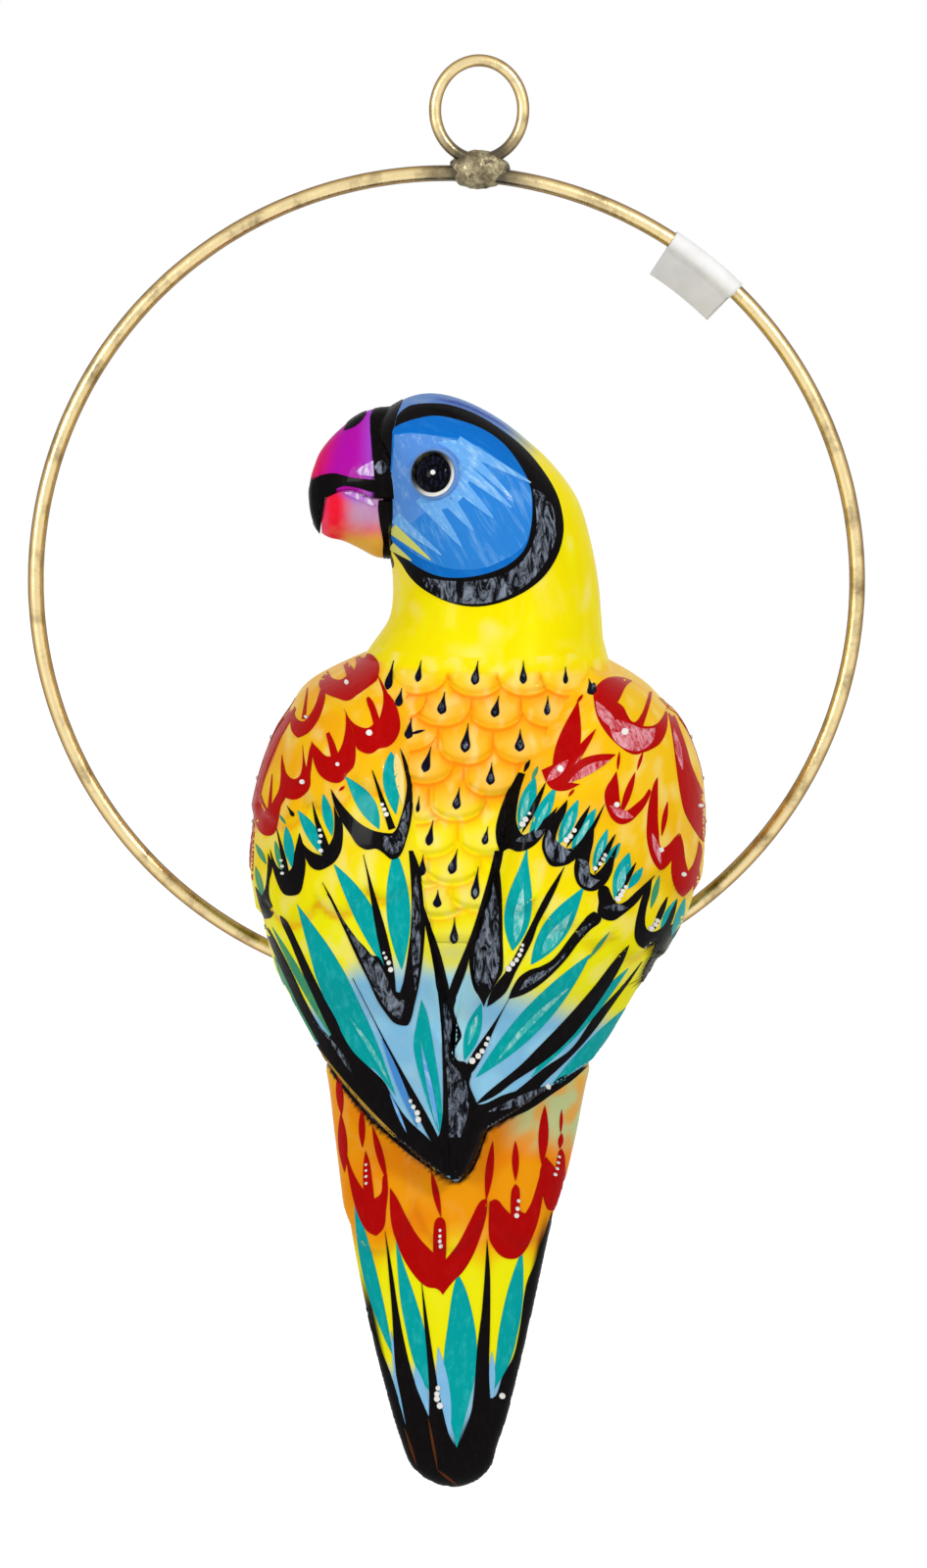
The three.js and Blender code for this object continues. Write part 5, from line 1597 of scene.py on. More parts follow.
# The rose strokes among these are painted highlights on the red
RIGHT_REDS = [
    blob("red", 612, 697, 620, 692, 632, 691, 645, 695, 639, 700, 632, 714, 630, 717, 636, 722, 640, 730,
        644, 736, 648, 737, 655, 728, 660, 715, 663, 704, 665, 706, 663, 718, 656, 741, 665, 741, 672, 737,
        677, 730, 680, 722, 681, 735, 679, 748, 673, 759, 664, 765, 656, 768, 648, 770, 638, 766, 622, 752,
        610, 733, 606, 714, 606, 706),
    blob("rose", 621, 738, 630, 735, 642, 739, 656, 744, 668, 743, 665, 757, 653, 766, 640, 765, 627, 756),
    blob("rose", 608, 716, 616, 722, 626, 734, 622, 742, 611, 731),
    leaf("red", 590, 716, 566, 806, 24, 0.55, -2),
    leaf("red", 608, 744, 567, 802, 9, 0.5),
    leaf("red", 628, 770, 566, 801, 17, 0.5, 3),
    blob("red", 553, 786, 566, 780, 578, 796, 592, 800, 576, 807, 562, 804),
    leaf("rose", 580, 776, 558, 798, 9),
    leaf("rose", 622, 776, 580, 799, 9, 0.5, 2),
    leaf("red", 595, 709, 589, 717, 3),
    leaf("red", 580, 813, 586, 805, 3),
    blob("red", 629, 787, 624, 795, 618, 805, 617, 815, 620, 827, 625, 836, 633, 841, 642, 839, 650, 832,
        658, 822, 664, 808, 662, 805, 656, 814, 648, 821, 640, 827, 634, 828, 632, 815, 631, 802),
    leaf("red", 648, 788, 633, 832, 7),
    leaf("red", 632, 767, 630, 786, 3),
    leaf("red", 656, 767, 650, 786, 3),
    leaf("rose", 622, 822, 646, 834, 9, 0.5, 2),
    blob("red", 671, 793, 667, 800, 662, 820, 660, 840, 660, 855, 663, 870, 667, 880, 673, 888, 678, 886,
        685, 878, 690, 865, 693, 850, 688, 855, 682, 862, 676, 866, 673, 862, 672, 850, 671, 835, 671, 815),
    leaf("red", 681, 818, 675, 853, 5),
    leaf("rose", 665, 850, 674, 882, 6),
    blob("red", 680, 718, 688, 730, 694, 745, 700, 762, 705, 780, 711, 795, 718, 812, 720, 830, 721, 862,
        714, 855, 706, 843, 699, 830, 695, 815, 690, 782, 688, 765, 685, 745),
    leaf("rose", 687, 743, 696, 786, 6),
    blob("red", 694, 851, 689, 865, 685, 882, 686, 897, 691, 910, 697, 915, 704, 908, 710, 897, 714, 882,
        716, 866, 713, 858, 711, 870, 707, 882, 702, 889, 699, 878, 697, 862),
    leaf("red", 713, 884, 707, 936, 6),
    dots(637, 747, 7, 572, 785, 6.5, 629, 821, 5.5, 674, 867, 5, 714, 822, 4, 697, 892, 4.5),
]

RIGHT_COVERTS = [
    blob("black", 529, 788, 536, 790, 531, 806, 528, 822, 527, 838, 531, 849, 536, 853, 544, 847, 553, 838,
        562, 830, 569, 823, 563, 837, 556, 849, 548, 860, 538, 867, 528, 869, 519, 866, 512, 871, 507, 860,
        506, 845, 510, 828, 516, 812, 523, 799),
    leaf("black", 557, 799, 533, 850, 6),
    leaf("teal", 546, 793, 530, 847, 16),
    leaf("teal", 567, 803, 540, 857, 14),
    glint(544, 793, 530, 847, 6),
    glint(566, 805, 542, 857, 5),
    leaf("sage", 549, 782, 543, 796, 4),
    leaf("sheen", 526, 858, 556, 846, 9, 0.5, 2),
    blob("black", 579, 816, 577, 829, 570, 844, 567, 857, 572, 863, 581, 866, 589, 862, 597, 851, 605, 840,
        617, 820, 610, 838, 603, 852, 590, 873, 581, 881, 571, 884, 562, 883, 556, 874, 553, 862, 557, 847,
        565, 832),
    leaf("black", 602, 822, 578, 865, 6),
    leaf("teal", 590, 816, 570, 862, 13),
    leaf("teal", 608, 825, 583, 869, 13),
    glint(589, 816, 571, 862, 5),
    glint(607, 825, 584, 869, 6),
    blob("sheen", 560, 846, 568, 858, 582, 869, 576, 880, 563, 878, 556, 864),
    blob("black", 606, 847, 605, 860, 602, 874, 601, 888, 606, 893, 613, 887, 621, 876, 631, 860, 627, 876,
        624, 890, 618, 901, 609, 908, 600, 909, 592, 905, 587, 896, 586, 884, 589, 872, 594, 864, 600, 856),
    leaf("black", 628, 851, 606, 892, 5.5),
    leaf("teal", 620, 846, 605, 887, 10),
    leaf("teal", 633, 860, 617, 884, 9),
    glint(619, 846, 606, 887, 4),
    blob("sheen", 590, 876, 600, 880, 603, 894, 612, 898, 602, 906, 592, 900),
    blob("black", 613, 903, 620, 905, 624, 914, 630, 922, 638, 920, 648, 911, 658, 902, 668, 893, 660, 905,
        652, 918, 643, 927, 634, 934, 626, 939, 617, 938, 610, 932, 611, 920, 610, 910),
    leaf("black", 649, 880, 627, 920, 5.5),
    leaf("teal", 642, 870, 627, 917, 16),
    glint(641, 872, 628, 917, 8),
    leaf("teal", 656, 885, 641, 907, 8),
    leaf("sheen", 616, 926, 640, 926, 7),
    blob("black", 665, 897, 663, 912, 659, 928, 658, 943, 662, 950, 670, 950, 678, 943, 684, 930, 691, 917,
        688, 932, 683, 945, 675, 956, 664, 965, 655, 967, 648, 958, 648, 945, 651, 930, 656, 913),
    leaf("black", 681, 915, 666, 950, 5.5),
    leaf("sage", 673, 893, 664, 927, 6),
    leaf("teal", 690, 918, 674, 950, 9),
    leaf("teal", 699, 916, 685, 964, 9),
    blob("black", 686, 943, 680, 960, 672, 972, 666, 985, 655, 1003, 657, 990, 664, 978, 668, 965,
        676, 952),
    dots(541, 830, 3.2, 537, 836, 5.5, 534, 841, 6, 586, 847, 4.8, 582, 853, 5.5, 578, 857, 6,
        617, 872, 3.6, 615, 876, 4, 612, 881, 4.4, 607, 886, 4.6, 638, 905, 4, 635, 909, 4.6, 633, 913, 5,
        630, 917, 6, 670, 939, 4.4, 668, 943, 4.6, 664, 947, 5.4),
]

RIGHT_FLIGHTS = [
    blob("black", 505, 868, 514, 868, 510, 888, 503, 910, 495, 933, 487, 953, 480, 973, 475, 992, 465, 1018,
        456, 1018, 463, 997, 477, 963, 484, 944, 498, 897),
    blob("black", 509, 880, 512, 910, 513, 960, 513, 990, 508, 1000, 497, 1019, 494, 1027, 490, 1018,
        484, 1008, 480, 990, 479, 975, 484, 955, 492, 930, 499, 905),
    blob("sheen", 504, 900, 509, 930, 509, 985, 500, 1010, 488, 1004, 484, 985, 487, 960, 495, 932),
    leaf("teal", 538, 865, 523, 970, 27, 0.62),
    blob("black", 576, 884, 568, 905, 558, 926, 549, 943, 542, 962, 527, 990, 516, 1012, 505, 1022,
        497, 1027, 500, 1015, 507, 1003, 517, 990, 536, 955, 556, 915, 566, 899),
    leaf("teal", 596, 905, 542, 984, 25, 0.55),
    leaf("foam", 584, 930, 552, 974, 12, 0.6),
    leaf("foam", 534, 900, 526, 962, 10, 0.6),
    blob("black", 606, 930, 613, 935, 612, 941, 603, 948, 590, 962, 578, 978, 565, 992, 550, 1005,
        535, 1014, 519, 1019, 523, 1008, 530, 997, 540, 990, 552, 986, 565, 978, 583, 955, 599, 935),
    blob("sheen", 606, 940, 590, 957, 574, 978, 552, 998, 530, 1010, 540, 996, 566, 984, 590, 950),
    leaf("teal", 602, 974, 486, 1099, 25, 0.5, -2),
    leaf("sage", 622, 951, 600, 979, 4),
    blob("black", 642, 964, 636, 980, 625, 1000, 612, 1020, 600, 1037, 583, 1058, 565, 1075, 545, 1090,
        525, 1103, 505, 1118, 485, 1127, 497, 1115, 530, 1088, 548, 1070, 577, 1040, 605, 1008, 630, 976),
    blob("black", 655, 981, 645, 997, 632, 1015, 607, 1050, 590, 1070, 570, 1090, 557, 1102, 540, 1120,
        520, 1135, 500, 1143, 491, 1140, 500, 1128, 520, 1118, 555, 1090, 583, 1070, 608, 1035, 633, 1008),
    leaf("teal", 641, 988, 542, 1099, 14),
    leaf("teal", 653, 1017, 560, 1111, 17, 0.5, -3),
    blob("black", 600, 1087, 585, 1094, 570, 1100, 556, 1111, 545, 1105, 530, 1112, 512, 1118, 495, 1126,
        486, 1126, 480, 1116, 470, 1110, 462, 1120, 455, 1140, 450, 1185, 458, 1198, 468, 1203, 480, 1197,
        489, 1180, 494, 1165, 500, 1152, 515, 1143, 540, 1132, 565, 1115, 585, 1101),
    blob("black", 446, 1006, 449, 1035, 451, 1065, 452, 1130, 449, 1155, 444, 1170, 452, 1184, 462, 1197,
        475, 1188, 484, 1165, 489, 1140, 487, 1127, 479, 1106, 481, 1094, 475, 1084, 467, 1082, 463, 1074,
        467, 1065, 471, 1057, 467, 1044, 463, 1030, 465, 1017, 456, 1008),
    blob("sheen", 452, 1020, 460, 1040, 458, 1080, 474, 1100, 478, 1130, 470, 1160, 458, 1160, 457, 1110,
        453, 1060),
    leaf("sheen", 498, 1134, 570, 1104, 9, 0.5, 2),
    leaf("foam", 580, 1008, 506, 1084, 6, 0.5, 3),
    leaf("teal", 491, 1024, 474, 1082, 15),
    leaf("black", 521, 1016, 473, 1102, 10, 0.75),
    leaf("foam", 488, 1035, 478, 1066, 6),
    dots(498, 1059, 4, 496, 1065, 4.6, 492, 1072, 5.2, 488, 1077, 5.8, 482, 1082, 6.4, 559, 1108, 5),
    dots(533, 964, 3.4, 532, 969, 4, 530, 974, 4.5, 527, 979, 4.8, 523, 983, 5.2, 519, 988, 5.8),
]


# Two fine marks among the mantle's drops

MANTLE_MARKS = [
    leaf("ink", 419, 749, 434, 745, 3),
    leaf("ink", 535, 788, 541, 775, 4),
]


# Strokes of the tail

TAIL_REDS = [
    leaf("red", 345, 1096, 349, 1138, 7),
    leaf("red", 348, 1136, 352, 1196, 9),
    blob("red", 351, 1165, 358, 1190, 365, 1205, 371, 1214, 371, 1190, 373, 1174, 377, 1185, 380, 1205,
        382, 1223, 389, 1217, 391, 1200, 395, 1198, 396, 1215, 394, 1235, 392, 1252, 384, 1261, 375, 1256,
        368, 1245, 362, 1228, 357, 1205),
    leaf("red", 369, 1132, 370, 1171, 6.5),
    leaf("red", 380, 1149, 395, 1205, 7),
    blob("red", 398, 1212, 405, 1222, 415, 1242, 427, 1262, 442, 1278, 443, 1250, 446, 1243, 452, 1243,
        455, 1250, 455, 1285, 468, 1268, 480, 1245, 490, 1226, 497, 1223, 496, 1240, 490, 1262, 482, 1282,
        472, 1298, 462, 1308, 452, 1321, 446, 1315, 436, 1313, 426, 1305, 414, 1288, 405, 1268, 399, 1245),
    leaf("red", 440, 1195, 450, 1242, 6.5),
    leaf("red", 503, 1164, 496, 1225, 8),
    blob("red", 500, 1226, 507, 1224, 515, 1233, 521, 1239, 522, 1215, 526, 1208, 530, 1213, 531, 1235,
        536, 1238, 543, 1225, 553, 1190, 556, 1200, 553, 1225, 549, 1245, 543, 1262, 535, 1277, 526, 1284,
        514, 1283, 505, 1275, 499, 1262),
    leaf("red", 526, 1164, 526, 1205, 7),
    leaf("red", 556, 1128, 553, 1189, 10),
    blob("red", 551, 1195, 557, 1180, 562, 1186, 567, 1192, 570, 1175, 573, 1172, 576, 1180, 576, 1205,
        572, 1222, 565, 1235, 558, 1233, 552, 1208),
    leaf("red", 573, 1156, 571, 1172, 5),
    leaf("red", 573, 1132, 572, 1156, 3),
    dots(374, 1188, 2.4, 374, 1194, 2.4, 374, 1200, 2.6, 374, 1207, 2.8, 449, 1255, 3, 449, 1261, 3.4,
        449, 1266, 3.6, 450, 1271, 4, 529, 1225, 3.6, 528, 1233, 4.4, 527, 1240, 5, 570, 1180, 2.6,
        569, 1186, 2.8, 568, 1192, 3, 566, 1198, 3.4),
]

TAIL_END = [
    blob("black", 366, 1318, 375, 1342, 388, 1375, 398, 1400, 408, 1432, 415, 1457, 409, 1425, 404, 1398,
        400, 1335, 397, 1300, 393, 1256, 400, 1295, 407, 1340, 415, 1380, 424, 1412, 438, 1446, 438, 1418,
        436, 1385, 433, 1350, 430, 1306, 436, 1345, 442, 1385, 448, 1420, 458, 1463, 466, 1477, 474, 1460,
        482, 1435, 487, 1375, 492, 1335, 497, 1264, 500, 1300, 500, 1350, 499, 1395, 500, 1427, 506, 1424,
        513, 1404, 524, 1384, 530, 1358, 537, 1311, 546, 1288, 563, 1236, 558, 1285, 551, 1320, 543, 1358,
        532, 1400, 520, 1440, 508, 1480, 495, 1506, 480, 1516, 462, 1520, 443, 1516, 425, 1506, 410, 1485,
        395, 1440, 380, 1388),
    leaf("teal", 362, 1223, 401, 1383, 14, 0.5, 3),
    blob("teal", 404, 1264, 412, 1290, 424, 1325, 434, 1360, 438, 1385, 438, 1419, 430, 1408, 421, 1385,
        414, 1355, 408, 1320),
    blob("teal", 467, 1299, 475, 1315, 482, 1340, 486, 1365, 486, 1395, 480, 1425, 466, 1478, 460, 1450,
        454, 1420, 453, 1385, 458, 1345, 462, 1318),
    blob("teal", 533, 1275, 534, 1300, 533, 1330, 528, 1360, 520, 1390, 502, 1421, 505, 1395, 509, 1360,
        516, 1325, 525, 1295),
    leaf("sky", 399, 1358, 414, 1457, 6),
    leaf("sky", 424, 1394, 437, 1449, 10),
    leaf("sky", 447, 1374, 459, 1465, 12),
    leaf("sky", 502, 1379, 502, 1429, 6),
    leaf("brown", 413, 1456, 426, 1496, 2.5),
    leaf("brown", 437, 1446, 447, 1501, 2.5),
    leaf("brown", 446, 1499, 468, 1516, 2.5),
    dots(447, 1416, 5, 446, 1422, 5.5, 446, 1427, 6, 449, 1434, 6.4, 512, 1424, 6),
]


# Strokes of the head and beak

FACE = [
    blob("black", 405, 427, 410, 420, 420, 414, 440, 412, 460, 414, 485, 423, 510, 438, 535, 458, 555, 482,
        568, 505, 574, 528, 574, 548, 568, 568, 555, 588, 535, 604, 510, 615, 485, 619, 460, 615, 435, 603,
        420, 590, 410, 575, 400, 560, 396, 542, 398, 520, 400, 500, 401, 455),
    blob("face", 401, 445, 402, 438, 410, 433, 425, 428, 445, 425, 470, 430, 495, 440, 515, 455, 530, 475,
        540, 495, 543, 515, 541, 540, 535, 560, 520, 575, 500, 584, 475, 589, 450, 588, 430, 580, 412, 567,
        402, 555, 398, 530, 397, 500, 400, 470),
    blob("mid", 403, 444, 420, 442, 445, 445, 470, 449, 492, 458, 512, 473, 530, 488, 540, 497, 542, 515,
        541, 540, 533, 558, 512, 572, 490, 580, 460, 580, 432, 570, 412, 556, 400, 545, 398, 530, 398, 500,
        401, 470),
    blob("haze", 403, 445, 420, 443, 445, 446, 474, 452, 462, 458, 470, 472, 472, 486, 466, 500, 462, 512,
        446, 518, 432, 524, 420, 534, 408, 534, 400, 524, 399, 500, 402, 470),
    spike("light", 541, 493, 466, 452, 14),
    spike("light", 522, 508, 472, 460, 12),
    spike("light", 522, 518, 468, 474, 15),
    spike("light", 503, 528, 462, 488, 17),
    spike("light", 483, 541, 450, 500, 16),
    spike("light", 471, 557, 432, 506, 18),
    spike("light", 451, 566, 404, 528, 12),
    spike("lemon", 440, 571, 401, 539, 11),
    spike("lemon", 421, 572, 400, 557, 8),
    blob("light", 446, 452, 470, 452, 478, 470, 478, 492, 468, 512, 448, 520, 430, 516, 436, 508, 452, 508,
        466, 496, 470, 480, 464, 464),
    blob("sheen", 430, 588, 452, 592, 480, 593, 508, 588, 528, 577, 542, 558, 547, 538, 546, 514, 543, 499,
        552, 503, 562, 515, 567, 532, 566, 550, 557, 572, 543, 591, 524, 605, 498, 615, 468, 615, 442, 606),
]
# A painted highlight on each eye: a white dot's middle x, middle y and diameter
EYE_GLINT = (442, 482, 5)

BEAK_STROKES = [
    blob("black", 380, 421, 396, 412, 411, 408, 405, 424, 402, 437, 401, 455, 401, 502, 392, 503, 383, 489,
        381, 470, 379, 450, 378, 435),
    blob("black", 394, 498, 401, 498, 398, 520, 396, 542, 398, 562, 402, 575, 400, 582, 395, 574, 391, 567,
        391, 552, 388, 535, 386, 515, 389, 505),
    blob("black", 402, 488, 390, 490, 375, 489, 358, 487, 342, 483, 328, 485, 320, 490, 315, 497, 315, 512,
        317, 525, 320, 534, 324, 541, 326, 530, 328, 515, 333, 503, 342, 499, 352, 496, 366, 498, 380, 502,
        400, 502),
    leaf("black", 351, 439, 374, 421, 8),
    leaf("sheen", 382, 476, 396, 478, 14),
    # Painted highlights on both halves of the beak, in a pale pearl paint
    blob("pearl", 364, 481, 370, 476, 381, 470, 382, 486, 366, 484),
    leaf("pearl", 352, 503, 384, 517, 7, 0.5, -3),
]


# The strokes go on the skins that the camera sees, and the hidden sides get their own

WINGS = ("left_wing_skin", "right_wing_skin", "mantle_skin", "body_skin", "tail_skin")
TAIL = ("tail_skin", "body_skin")
HEAD = ("head_skin",)
BEAK = ("upper_beak_skin", "lower_beak_skin", "head_skin")


def side_ray(side):
    """Level rays from one side, for strokes whose points are y and z."""

    def ray(point):
        return np.array([side * 300.0, point[0], point[1]]), np.array([-side, 0.0, 0.0])

    return ray


def front_ray(point):
    """Level rays from the front, for strokes whose points are x and z."""
    return np.array([point[0], 300.0, point[1]]), np.array([0.0, -1.0, 0.0])


FLANK_STEP = 1.0
# Height and colour of each row of feathers on a wing's side
FLANK_ROWS = [(83, "red"), (71, "red"), (59, "red"), (46, "black"), (33, "black")]
FLANK_BACK_Y = -26
FLANK_FEATHERS = 3
BREAST_ROWS, BREAST_TOP_Z, BREAST_MIDDLE_X, BREAST_SPACING = 5, 86, 10, 13
SHINY_DROPS_X = 452  # the mantle's drops to the right of this, in photograph pixels, catch the light
TAIL_MIRROR_Y = -31  # the tail's front has the same strokes as its back, mirrored about this depth


def scoop(colour, y, z, width, tall, thick):
    """A painted U along a feather's rounded end."""
    half, low = width / 2, z - tall
    rise = low + tall * 0.35
    outer = [(-1, z), (-0.8, rise), (-0.35, low), (0, low - 0.6), (0.35, low), (0.8, rise), (1, z)]
    inner = [(0.5, low + thick), (0, low + thick * 0.8), (-0.5, low + thick)]
    return colour, [(y + half * across, height) for across, height in outer + inner], 0.0


def flank_strokes():
    """Feathers round the wings' front edges, in the same rows as on the back."""
    strokes = []
    for row, (row_z, colour) in enumerate(FLANK_ROWS):
        front = straight(WING_FRONT, row_z) - 2
        width = (front - FLANK_BACK_Y) / FLANK_FEATHERS
        for k in range(FLANK_FEATHERS):
            y = FLANK_BACK_Y + (k + 0.5 + 0.25 * (row % 2)) * width * 0.88
            z = row_z - 1.5 * k
            strokes.append(scoop(colour, y, z, width * 0.94, 8, 3.2))
            strokes.append(leaf(colour, y, z + 5, y, z - 6, 1.3))
            if colour == "black":
                strokes.append(leaf("teal", y - 2.6, z + 6, y - 2.2, z - 3, 2.4))
                strokes.append(leaf("teal", y + 2.6, z + 6, y + 2.2, z - 3, 2.4))
            strokes.append(dots(y, z - 6.2, 1.2))
    return strokes


def breast_drops():
    """Small drops on the breast, in staggered rows like those on the back, and none over the vent."""
    strokes = []
    for row in range(BREAST_ROWS):
        z = BREAST_TOP_Z - row * BREAST_SPACING
        for k in range(-2, 3 if row % 2 == 0 else 2):
            x = BREAST_MIDDLE_X + (k + 0.5 * (row % 2)) * BREAST_SPACING
            if np.hypot(x - VENT[0], z - VENT[1]) > VENT_RADIUS + 5:
                strokes.append(drop("ink", x, z + 3.4, x, z - 3, 2.4))
    return strokes


def mirrored_ray(middle_y):
    """The camera's rays as seen in a mirror that stands at middle_y."""

    def ray(point):
        origin, direction = photo_ray(point)
        flip = np.array([1, -1, 1])
        return origin * flip + (0, 2 * middle_y, 0), direction * flip

    return ray


def add_paint():
    paint("left_wing", WINGS, LEFT_REDS + LEFT_COVERTS + LEFT_FLIGHTS)
    for word, side in (("left", -1), ("right", 1)):
        paint(word + "_flank", (word + "_wing_skin",), flank_strokes(), side_ray(side), FLANK_STEP)
    paint("breast", ("body_skin",), breast_drops(), front_ray, FLANK_STEP)
    paint("right_wing", WINGS, RIGHT_REDS + RIGHT_COVERTS + RIGHT_FLIGHTS)
    drops = [drop("ink", *row) for row in MANTLE_DROPS]
    for tail_x, _, end_x, end_y, width in MANTLE_DROPS:
        if tail_x > SHINY_DROPS_X and width > 6:
            drops.append(leaf("sheen", end_x + 1, end_y - 3, end_x + 1, end_y - 12, 0.5 * width))
    paint("mantle", WINGS, drops + MANTLE_MARKS)
    paint("tail", TAIL, TAIL_REDS + TAIL_END)
    paint("tail_front", TAIL, TAIL_REDS[:-1] + TAIL_END[:-1], mirrored_ray(TAIL_MIRROR_Y))
    for word, ray in (("left", photo_ray), ("right", mirrored_ray(HEAD_MIDDLE_Y))):
        paint(word + "_face", HEAD, FACE, ray)
        paint(word + "_beak", BEAK, BEAK_STROKES, ray)
        paint(word + "_eye", (word + "_eye_pellet",), [dots(*EYE_GLINT)], ray)


add_paint()
add_films()


# Hoop, hanging eye, braze and label, in the part's frame

ROD_END_GAP = 0.25  # from each end of the rod to the joint's middle, inside the braze
BRAZE_RADII = np.array([8.4, 3.6, 5.4])
LABEL_LENGTH, LABEL_FLAP = 23, 8.5
LABEL_GAP, LABEL_PAPER = 0.35, 0.25  # to the rod, and thickness of each layer
LABEL_SLIT = 0.02  # half the gap between the two flaps
LABEL_ANGLE = math.radians(38.5)  # round the hoop from its top


def tube(path, radius, sides, closed):
    """A round tube along a path in a plane of constant y."""
    if closed:
        along = np.roll(path, -1, 0) - np.roll(path, 1, 0)
    else:
        along = np.gradient(path, axis=0)
    along /= np.linalg.norm(along, axis=1, keepdims=True)
    across = np.array([0, 1.0, 0])
    out = np.cross(along, across)[:, None, :]
    turns = np.linspace(0, 2 * np.pi, sides, endpoint=False)[:, None]
    points = path[:, None, :] + radius * (np.cos(turns) * out + np.sin(turns) * across)
    faces = ring_faces(len(path), sides) if closed else tube_faces(len(path), sides)
    return points.reshape(-1, 3), faces


def add_hoop():
    braze_angle = math.asin(EYE_OFFSET / HOOP_RADIUS)
    gap = ROD_END_GAP / HOOP_RADIUS
    turns = np.linspace(braze_angle + gap, braze_angle + 2 * np.pi - gap, 360)
    x = -EYE_OFFSET + HOOP_RADIUS * np.sin(turns)
    z = HOOP_MIDDLE_Z + HOOP_RADIUS * np.cos(turns)
    points, faces = tube(np.stack([x, 0 * turns, z], -1), HOOP_ROD / 2, 24, False)
    add_mesh("hoop_rod", points, faces, BRASS, ("hoop",), "hanger")
    turns = np.linspace(0, 2 * np.pi, 120, endpoint=False)
    half = (EYE_INNER_WIDTH + EYE_ROD) / 2
    stretch = (EYE_INNER_HEIGHT - EYE_INNER_WIDTH) / 2
    z = -EYE_INNER_HEIGHT / 2 + (half + stretch) * np.cos(turns)
    points, faces = tube(np.stack([half * np.sin(turns), 0 * turns, z], -1), EYE_ROD / 2, 20, True)
    add_mesh("hanging_eye_rod", points, faces, BRASS, ("hanging_eye",), "hanger")


def add_braze():
    points, faces = ball(BRAZE_RADII, 40, 64, rough=0.09, pole=0.03)
    points = points + (0, 0, BRAZE_Z)
    add_mesh("braze_lump", points, faces, BRAZE, ("braze_bead",), "hanger")


def label_outline():
    """Section of the folded label: round the rod and out along both flaps, outside and then inside."""
    inner = HOOP_ROD / 2 + LABEL_GAP
    outer = inner + LABEL_PAPER
    halves = []
    for radius, thick in ((outer, LABEL_PAPER), (inner, LABEL_SLIT)):
        spread = math.asin(thick / radius)
        turns = np.linspace(np.pi + spread, 3 * np.pi - spread, 40)
        loop = [(radius * math.cos(t), radius * math.sin(t)) for t in turns]
        halves.append([(-outer - LABEL_FLAP, -thick)] + loop + [(-outer - LABEL_FLAP, thick)])
    return halves[0] + halves[1][::-1]


def add_label():
    ring = label_outline()
    columns, steps = len(ring), 24
    half = LABEL_LENGTH / HOOP_RADIUS / 2
    points = []
    for i in range(steps + 1):
        angle = LABEL_ANGLE - half + 2 * half * i / steps
        for out, y in ring:
            away = HOOP_RADIUS + out
            points.append((-EYE_OFFSET + away * math.sin(angle), y, HOOP_MIDDLE_Z + away * math.cos(angle)))
    faces = grid_faces(steps + 1, columns, True)
    for start in (0, steps * columns):
        for k in range(columns // 2 - 1):
            quad = (start + k, start + k + 1, start + columns - 2 - k, start + columns - 1 - k)
            faces.append(quad if start else tuple(reversed(quad)))
    add_mesh("folded_label", points, faces, PAPER, ("paper_tag",), "hanger")


add_hoop()
add_braze()
add_label()


# Stage, in metres

FLOOR_Z = -1.4
FLOOR_REACH = 9
FLOOR_GREY = 0.75
WORLD_STRENGTH = 0.5
# Name, place, width and height, and watts of each lamp
LAMPS = [
    ("key_softbox", (0.85, -1.15, 0.6), (0.16, 0.2), 10.5),
    ("fill_softbox", (-1.0, -1.05, 0.1), (0.3, 0.4), 6.5),
]


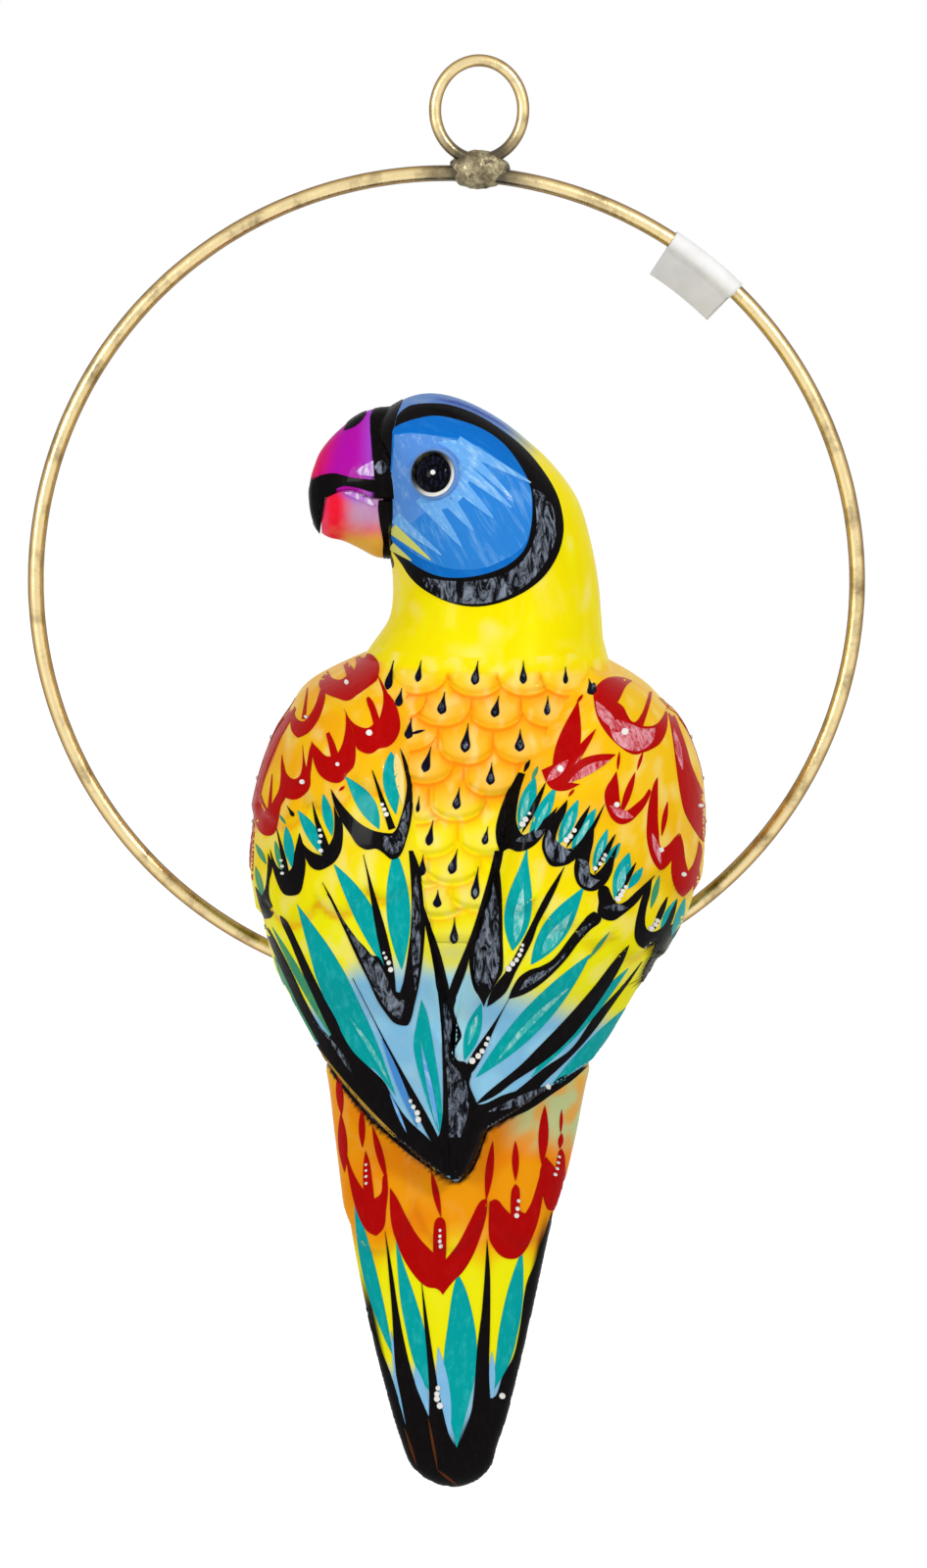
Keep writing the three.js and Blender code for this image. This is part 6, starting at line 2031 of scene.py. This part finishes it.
def add_stage():
    mesh = bpy.data.meshes.new("studio_floor")
    corners = [(x * FLOOR_REACH, y * FLOOR_REACH, FLOOR_Z) for x, y in ((-1, -1), (1, -1), (1, 1), (-1, 1))]
    mesh.from_pydata(corners, [], [(0, 1, 2, 3)])
    floor = bpy.data.objects.new("studio_floor", mesh)
    bpy.context.collection.objects.link(floor)
    nodes = Nodes("pale_floor")
    path = nodes.node("ShaderNodeLightPath")
    seen = nodes.math("MAXIMUM", path.outputs["Is Camera Ray"], path.outputs["Is Glossy Ray"])
    seen = nodes.math("MAXIMUM", seen, path.outputs["Is Transmission Ray"])
    glow = nodes.node("ShaderNodeEmission")
    nodes.link(nodes.math("MULTIPLY", seen, FLOOR_GREY), glow.inputs["Strength"])
    plain = nodes.node("ShaderNodeBsdfDiffuse")
    plain.inputs["Color"].default_value = (FLOOR_GREY, FLOOR_GREY, FLOOR_GREY, 1)
    total = nodes.node("ShaderNodeAddShader")
    nodes.link(glow.outputs[0], total.inputs[0])
    nodes.link(plain.outputs[0], total.inputs[1])
    nodes.link(total.outputs[0], nodes.output.inputs["Surface"])
    mesh.materials.append(nodes.material)


def add_lamp(name, place, size, power):
    data = bpy.data.lights.new(name, "AREA")
    data.shape = "RECTANGLE"
    data.size, data.size_y = size
    data.energy = power
    lamp = bpy.data.objects.new(name, data)
    lamp.location = place
    aim = Vector(AIM * MM) - Vector(place)
    lamp.rotation_euler = aim.to_track_quat("-Z", "Y").to_euler()
    bpy.context.collection.objects.link(lamp)


def add_world():
    world = bpy.data.worlds.new("plain_light")
    bpy.context.scene.world = world
    world.use_nodes = True
    tree = world.node_tree
    tree.nodes.clear()
    output = tree.nodes.new("ShaderNodeOutputWorld")
    background = tree.nodes.new("ShaderNodeBackground")
    path = tree.nodes.new("ShaderNodeLightPath")
    seen = tree.nodes.new("ShaderNodeMath")
    seen.operation = "MAXIMUM"
    through = tree.nodes.new("ShaderNodeMath")
    through.operation = "MAXIMUM"
    strength = tree.nodes.new("ShaderNodeMapRange")
    strength.inputs["To Min"].default_value = WORLD_STRENGTH
    strength.inputs["To Max"].default_value = 1.0
    background.inputs["Color"].default_value = (1, 1, 1, 1)
    links = tree.links
    links.new(path.outputs["Is Camera Ray"], seen.inputs[0])
    links.new(path.outputs["Is Glossy Ray"], seen.inputs[1])
    links.new(seen.outputs[0], through.inputs[0])
    links.new(path.outputs["Is Transmission Ray"], through.inputs[1])
    links.new(through.outputs[0], strength.inputs["Value"])
    links.new(strength.outputs[0], background.inputs["Strength"])
    links.new(background.outputs[0], output.inputs["Surface"])


add_stage()
add_world()
for lamp in LAMPS:
    add_lamp(*lamp)

bpy.context.scene.view_settings.view_transform = "Standard"
